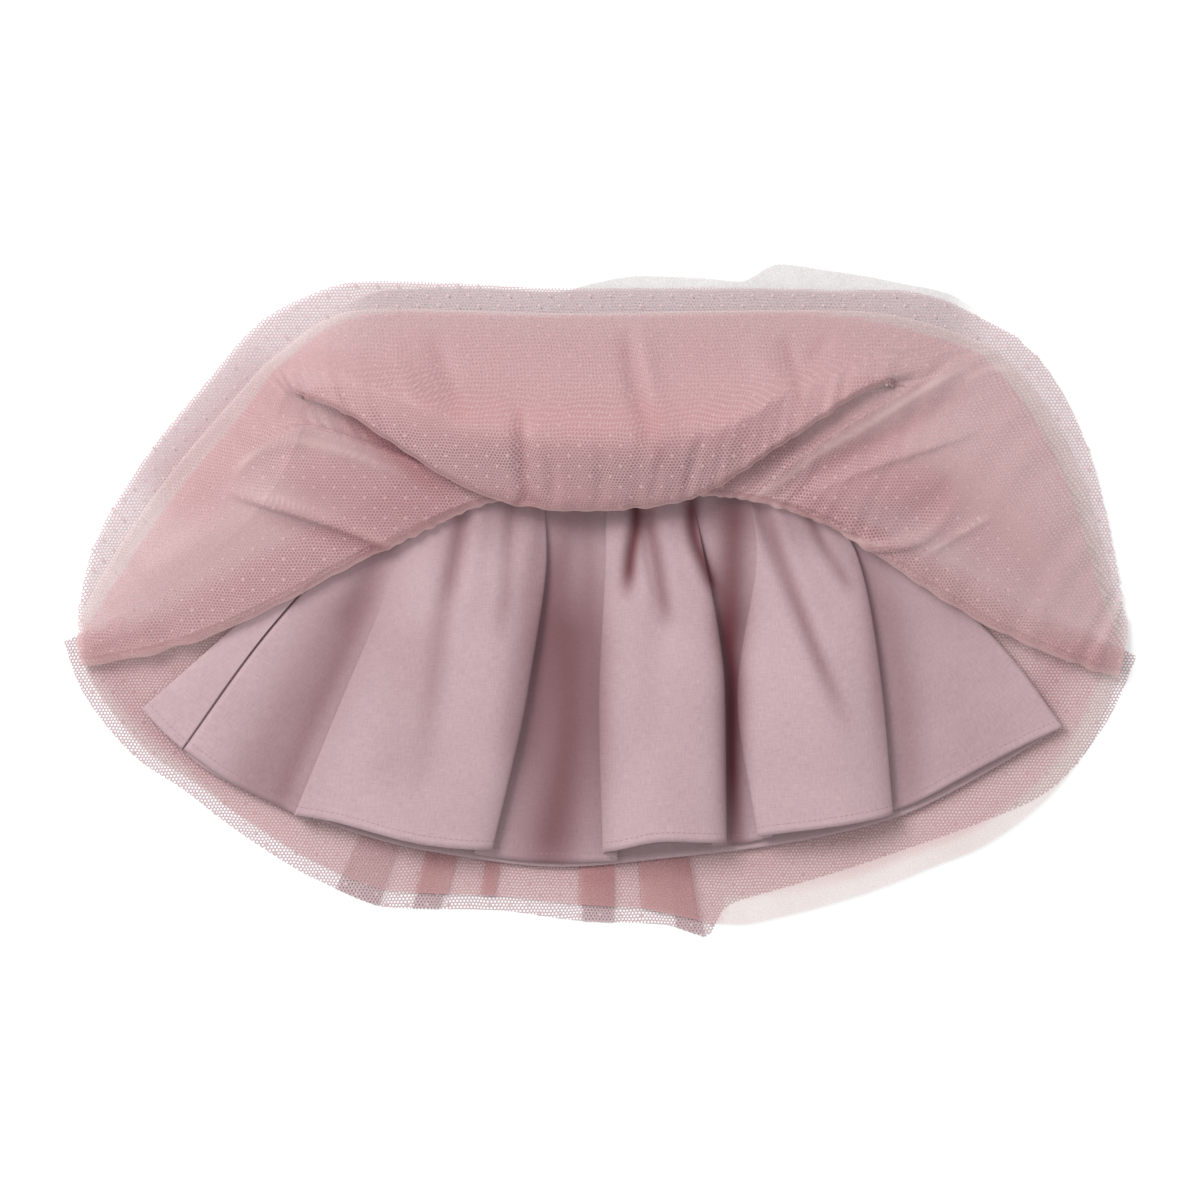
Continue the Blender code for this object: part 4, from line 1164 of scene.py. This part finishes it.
def rounded(before, fold, after, radius, least_doubled=0.0):
    """A fold as three points: a rounded turn where the cloth doubles back, a plain run where it doesn't."""
    back, back_length = horizontal(before - fold)
    on, on_length = horizontal(after - fold)
    doubled = max(least_doubled, (1 + back @ on) / 2)
    reach_back = min(radius, NEIGHBOUR_SHARE * back_length)
    reach_on = min(radius, NEIGHBOUR_SHARE * on_length)
    under = fold + back * reach_back
    over = fold + on * reach_on
    plain_under = fold[2] + (before[2] - fold[2]) * reach_back / back_length
    plain_over = fold[2] + (after[2] - fold[2]) * reach_on / on_length
    under[2] = plain_under * (1 - doubled) + (fold[2] - radius) * doubled
    over[2] = plain_over * (1 - doubled) + (fold[2] + radius) * doubled
    return [under, fold, over]


def front_lines():
    """The front tulle's lines, seam to hem, for each row of its table."""
    lines = []
    for row in named_rows(FRONT_COLUMNS, FRONT):
        seam = np.array([row["seam"], FRONT_SEAM_Y, FRONT_SEAM_Z])
        turn, crest, tuck, edge, crown = (
            np.array(row[key], float) for key in ("turn", "crest", "tuck", "edge", "crown")
        )
        hem = np.array([*row["hem"], FRONT_HEM_Z])
        hem[2] = min(hem[2] + max(0.0, -row["hem"][1]) * 0.1, crown[2])
        leg = seam + (turn - seam) * LEG_SHARE
        leg[2] = seam[2] + (turn[2] - TURN_RADIUS - seam[2]) * LEG_SHARE
        slope = crown + (hem - crown) * SLOPE_SHARE
        slope[2] = hem[2] + (crown[2] - hem[2]) * SLOPE_RISE
        line = [seam, leg] + rounded(leg, turn, crest, TURN_RADIUS, least_doubled=1.0) + [crest]
        line += rounded(crest, tuck, edge, TUCK_RADIUS) + rounded(tuck, edge, crown, EDGE_RADIUS)
        lines.append(line + [crown, slope, hem])
    return np.array(lines)


def gathers(count, seed, lowest, highest):
    """An uneven run of small folds across a cloth, about 1 high."""
    random = np.random.default_rng(seed)
    share = np.linspace(0, 1, count)
    folds = sum(
        random.uniform(0.4, 1.0) * np.sin(math.tau * (often * share + random.random()))
        for often in random.uniform(lowest, highest, 7)
    )
    return folds / 2.5


front_rows = softened(between_rows(front_lines(), FRONT_ACROSS), FRONT_SOFTNESS)
tulle_grid = along(front_rows, FRONT_STEPS)
point_places = np.concatenate([[0], np.cumsum(FRONT_STEPS)])
turn_at, tuck_at, edge_at = (point_places[point] for point in (TURN_POINT, TUCK_POINT, EDGE_POINT))
# The puffs' folds lie from the turn to the tuck, and past the tuck only at the two sides of the flap.
flap_share = np.interp(tulle_grid[:, edge_at, 0], FLAP_ENDS, (0, 1, 1, 0))
puffs = np.ones(tulle_grid.shape[:2])
puffs[:, tuck_at + 4 :] = 1 - flap_share[:, None]
puffs[:, :turn_at] = 0
flap = slice(edge_at, None)
tulle_grid += (creased(tulle_grid, PUFF_CREASES) - tulle_grid) * puffs[..., None]
tulle_grid = creased(tulle_grid, FLAP_CREASES, slice(edge_at - 2, None))
tulle_run = lengths_along(tulle_grid, 1)
from_turn, from_tuck, from_edge = (tulle_run - tulle_run[:, [at]] for at in (turn_at, tuck_at, edge_at))
small_folds = sum(
    height * np.exp(-np.abs(away) / reach)
    for height, away, reach in zip(GATHER_HEIGHTS, (from_turn, from_edge), GATHER_REACHES)
)
small_folds = gathers(len(tulle_grid), 5, 24, 70)[:, None] * small_folds
tulle_grid += mitres(tulle_grid) * small_folds[..., None]
turn_rim, edge_rim = (
    RIM_SHARE * np.exp(-((away / width) ** 2)) for away, width in zip((from_turn, from_edge), RIM_WIDTHS)
)
# The crowding both thickens the haze and pales its colour; the paler colour is a painted highlight.
crowding = turn_rim + edge_rim * flap_share[:, None] + marked(tulle_grid, FRONT_RIMS) * puffs
ply_step = np.interp(np.abs(tulle_grid[:, -1:, 0]), PLY_STEP_PLACES, PLY_STEP)
tuck_fade = TUCK_FADE * np.exp(-((from_tuck / TUCK_REACH) ** 2)) * flap_share[:, None]
from_side = np.minimum(np.arange(len(tulle_grid)), np.arange(len(tulle_grid))[::-1])[:, None]
side_fade = np.clip(1 - from_side / SIDE_FADE, 0, 1) * np.clip(-from_turn / 12 - 0.3, 0, 1)
spent = np.maximum(tuck_fade, side_fade)
tulle_front = cloth(
    "front_tulle",
    tulle_grid,
    tulle_haze,
    crowding=np.clip(crowding, 0, 1),
    hollow=marked(tulle_grid, FRONT_PAINTED_SHADE) * puffs + marked(tulle_grid, FLAP_PAINTED_SHADE, flap),
    plies=np.clip((tulle_run[:, -1:] - tulle_run - ply_step) / PLY_FADE, 0, 1),
    thin=marked(tulle_grid, FRONT_THIN) * puffs + marked(tulle_grid, FLAP_THIN, flap),
    spent=spent,
)
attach(tulle_front, "root")
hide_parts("tulle_front")

# ------------------------------------------------------------------------------------------------------
# The front net: the same dotted net as the back's, lying inside the front tulle's turn, with a hem that
# passes the tulle's all the way round. Where it is bunched up, its holes are filled with the colour of the
# net at its back, darkened with painted shade.
# ------------------------------------------------------------------------------------------------------
NET_SHORT = 3.2  # the net turns this much before the tulle does
NET_SHORT_REACH = 7
WAY_LINES = 11  # lines of cloth past the turn, to where the way back from it is taken
BEYOND_STEPS = 6  # from the tulle's hem out to the net's
# Where the holes are filled: partly more net at its back, partly painted shade in its darker colour.
FRONT_BUNCHED = (
    ("left fold", ((-206, 78), (-150, 70), (-110, 58), (-50, 46)), 17, 0.75),
    ("left band", ((-276, -24), (-200, 12), (-150, 34), (-90, 50)), 20, 0.6),
    ("left hollow", ((-150, 108), (-128, 94), (-108, 78), (-76, 57)), 7, 0.8),
    ("left upper", ((-244, 40), (-206, 84), (-160, 128)), 26, 0.65),
    ("right band", ((64, 52), (130, 70), (180, 54), (222, 24), (276, -30)), 24, 0.55),
    ("right middle", ((100, 62), (150, 66), (196, 60)), 20, 0.6),
    ("right folds", ((80, 66), (132, 100), (160, 114), (206, 134)), 12, 0.45),
)
FLAP_BUNCHED = (
    ("lip", ((-150, 104), (-66, 72), (0, 60), (50, 64), (124, 104)), 16, 0.1),
    ("flap body", ((-200, 128), (-90, 104), (0, 98), (60, 98), (190, 122)), 19, 0.95),
    ("flap top", ((-220, 132), (-80, 134), (0, 134), (90, 134), (220, 132)), 20, 0.3),
)
inward = tulle_grid - mitres(tulle_grid) * (TULLE + LAYER_GAP)
back_from_turn = tulle_grid[:, turn_at + WAY_LINES] - tulle_grid[:, turn_at]
outward = tulle_grid[:, -1] - tulle_grid[:, -4]
for way in (back_from_turn, outward):
    way[:, 2] = 0
    way /= np.linalg.norm(way, axis=1, keepdims=True)
near_turn = np.exp(-((from_turn / NET_SHORT_REACH) ** 2))
inward += back_from_turn[:, None] * NET_SHORT * near_turn[..., None]
net_past = np.array([row["net_past"] for row in named_rows(FRONT_COLUMNS, FRONT)], float)
net_past = softened(between_rows(net_past[:, None], FRONT_ACROSS), FRONT_SOFTNESS)
beyond = [
    inward[:, -1] + outward * net_past * share for share in np.linspace(0, 1, BEYOND_STEPS + 1)[1:]
]
net_grid = np.concatenate([inward, np.stack(beyond, axis=1)], axis=1)
past_hem = ((0, 0), (0, BEYOND_STEPS))
bunched = marked(net_grid, FRONT_BUNCHED) * np.pad(puffs, past_hem, mode="edge")
bunched += marked(net_grid, FLAP_BUNCHED, flap)
net_front = cloth("front_net", net_grid, net_thread, bunched=bunched, spent=np.pad(spent, past_hem))
# The stretches are the leg, the puffs up to the tuck, the tuck and the flap.
stretch_ends = (turn_at, tuck_at, edge_at, net_grid.shape[1])
stretch_down = np.searchsorted(stretch_ends, np.arange(net_grid.shape[1] - 1), side="right")
front_dots = dotted(net_front, "front_dots", np.tile(stretch_down, net_grid.shape[0] - 1))
for piece in (net_front, front_dots):
    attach(piece, "root")
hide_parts("net_front")

# ------------------------------------------------------------------------------------------------------
# The second front tulle: the hem of another fine tulle that lies flat under the front net and shows past
# it at the top. It is the sheerest layer, and its colour is greyed with painted shade, so that it is
# greyer than the others where it lies on white.
# ------------------------------------------------------------------------------------------------------
SHEER_Z = 0.35
SHEER_HEM = (
    (-150, 158), (-118, 171), (-80, 172), (-26, 170), (-4, 175), (22, 179), (55, 178), (77, 176),
    (99, 185.5), (126, 182), (146, 179), (166, 175), (190, 170), (214, 157),
)  # fmt: skip
SHEER_INNER_Y = 100.0
SHEER_FADE_DEPTH = 40  # from its hidden inner edge, the length over which it is thinned
SHEER_FADE_ENDS = 1 / 14  # of its width, the same at each end

# The sheerest nylon tulle: it only greys the white that it lies on, its colour greyed with painted shade.
sheer_haze = tulle_finish("sheer nylon tulle", (0.32, 0.32, 0.32), ("#b5abaa",))
sheer_outer = between_rows(SHEER_HEM, 10)
sheer_steps = np.linspace(0, 1, 25)[None, :, None]
sheer_inner = np.stack([sheer_outer[:, 0], np.full(len(sheer_outer), SHEER_INNER_Y)], axis=1)
sheer_flat = sheer_inner[:, None] * (1 - sheer_steps) + sheer_outer[:, None] * sheer_steps
sheer_grid = np.concatenate([sheer_flat, np.full((*sheer_flat.shape[:2], 1), SHEER_Z)], axis=2)
sheer_share = np.linspace(0, 1, len(sheer_grid))[:, None]
sheer_kept = np.clip(np.minimum(sheer_share, 1 - sheer_share) / SHEER_FADE_ENDS, 0, 1)
sheer_kept = sheer_kept * np.clip((sheer_grid[..., 1] - SHEER_INNER_Y) / SHEER_FADE_DEPTH, 0, 1)
sheer_front = cloth("front_sheer", sheer_grid, sheer_haze, spent=1 - sheer_kept)
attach(sheer_front, "root")
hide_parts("sheer_front")
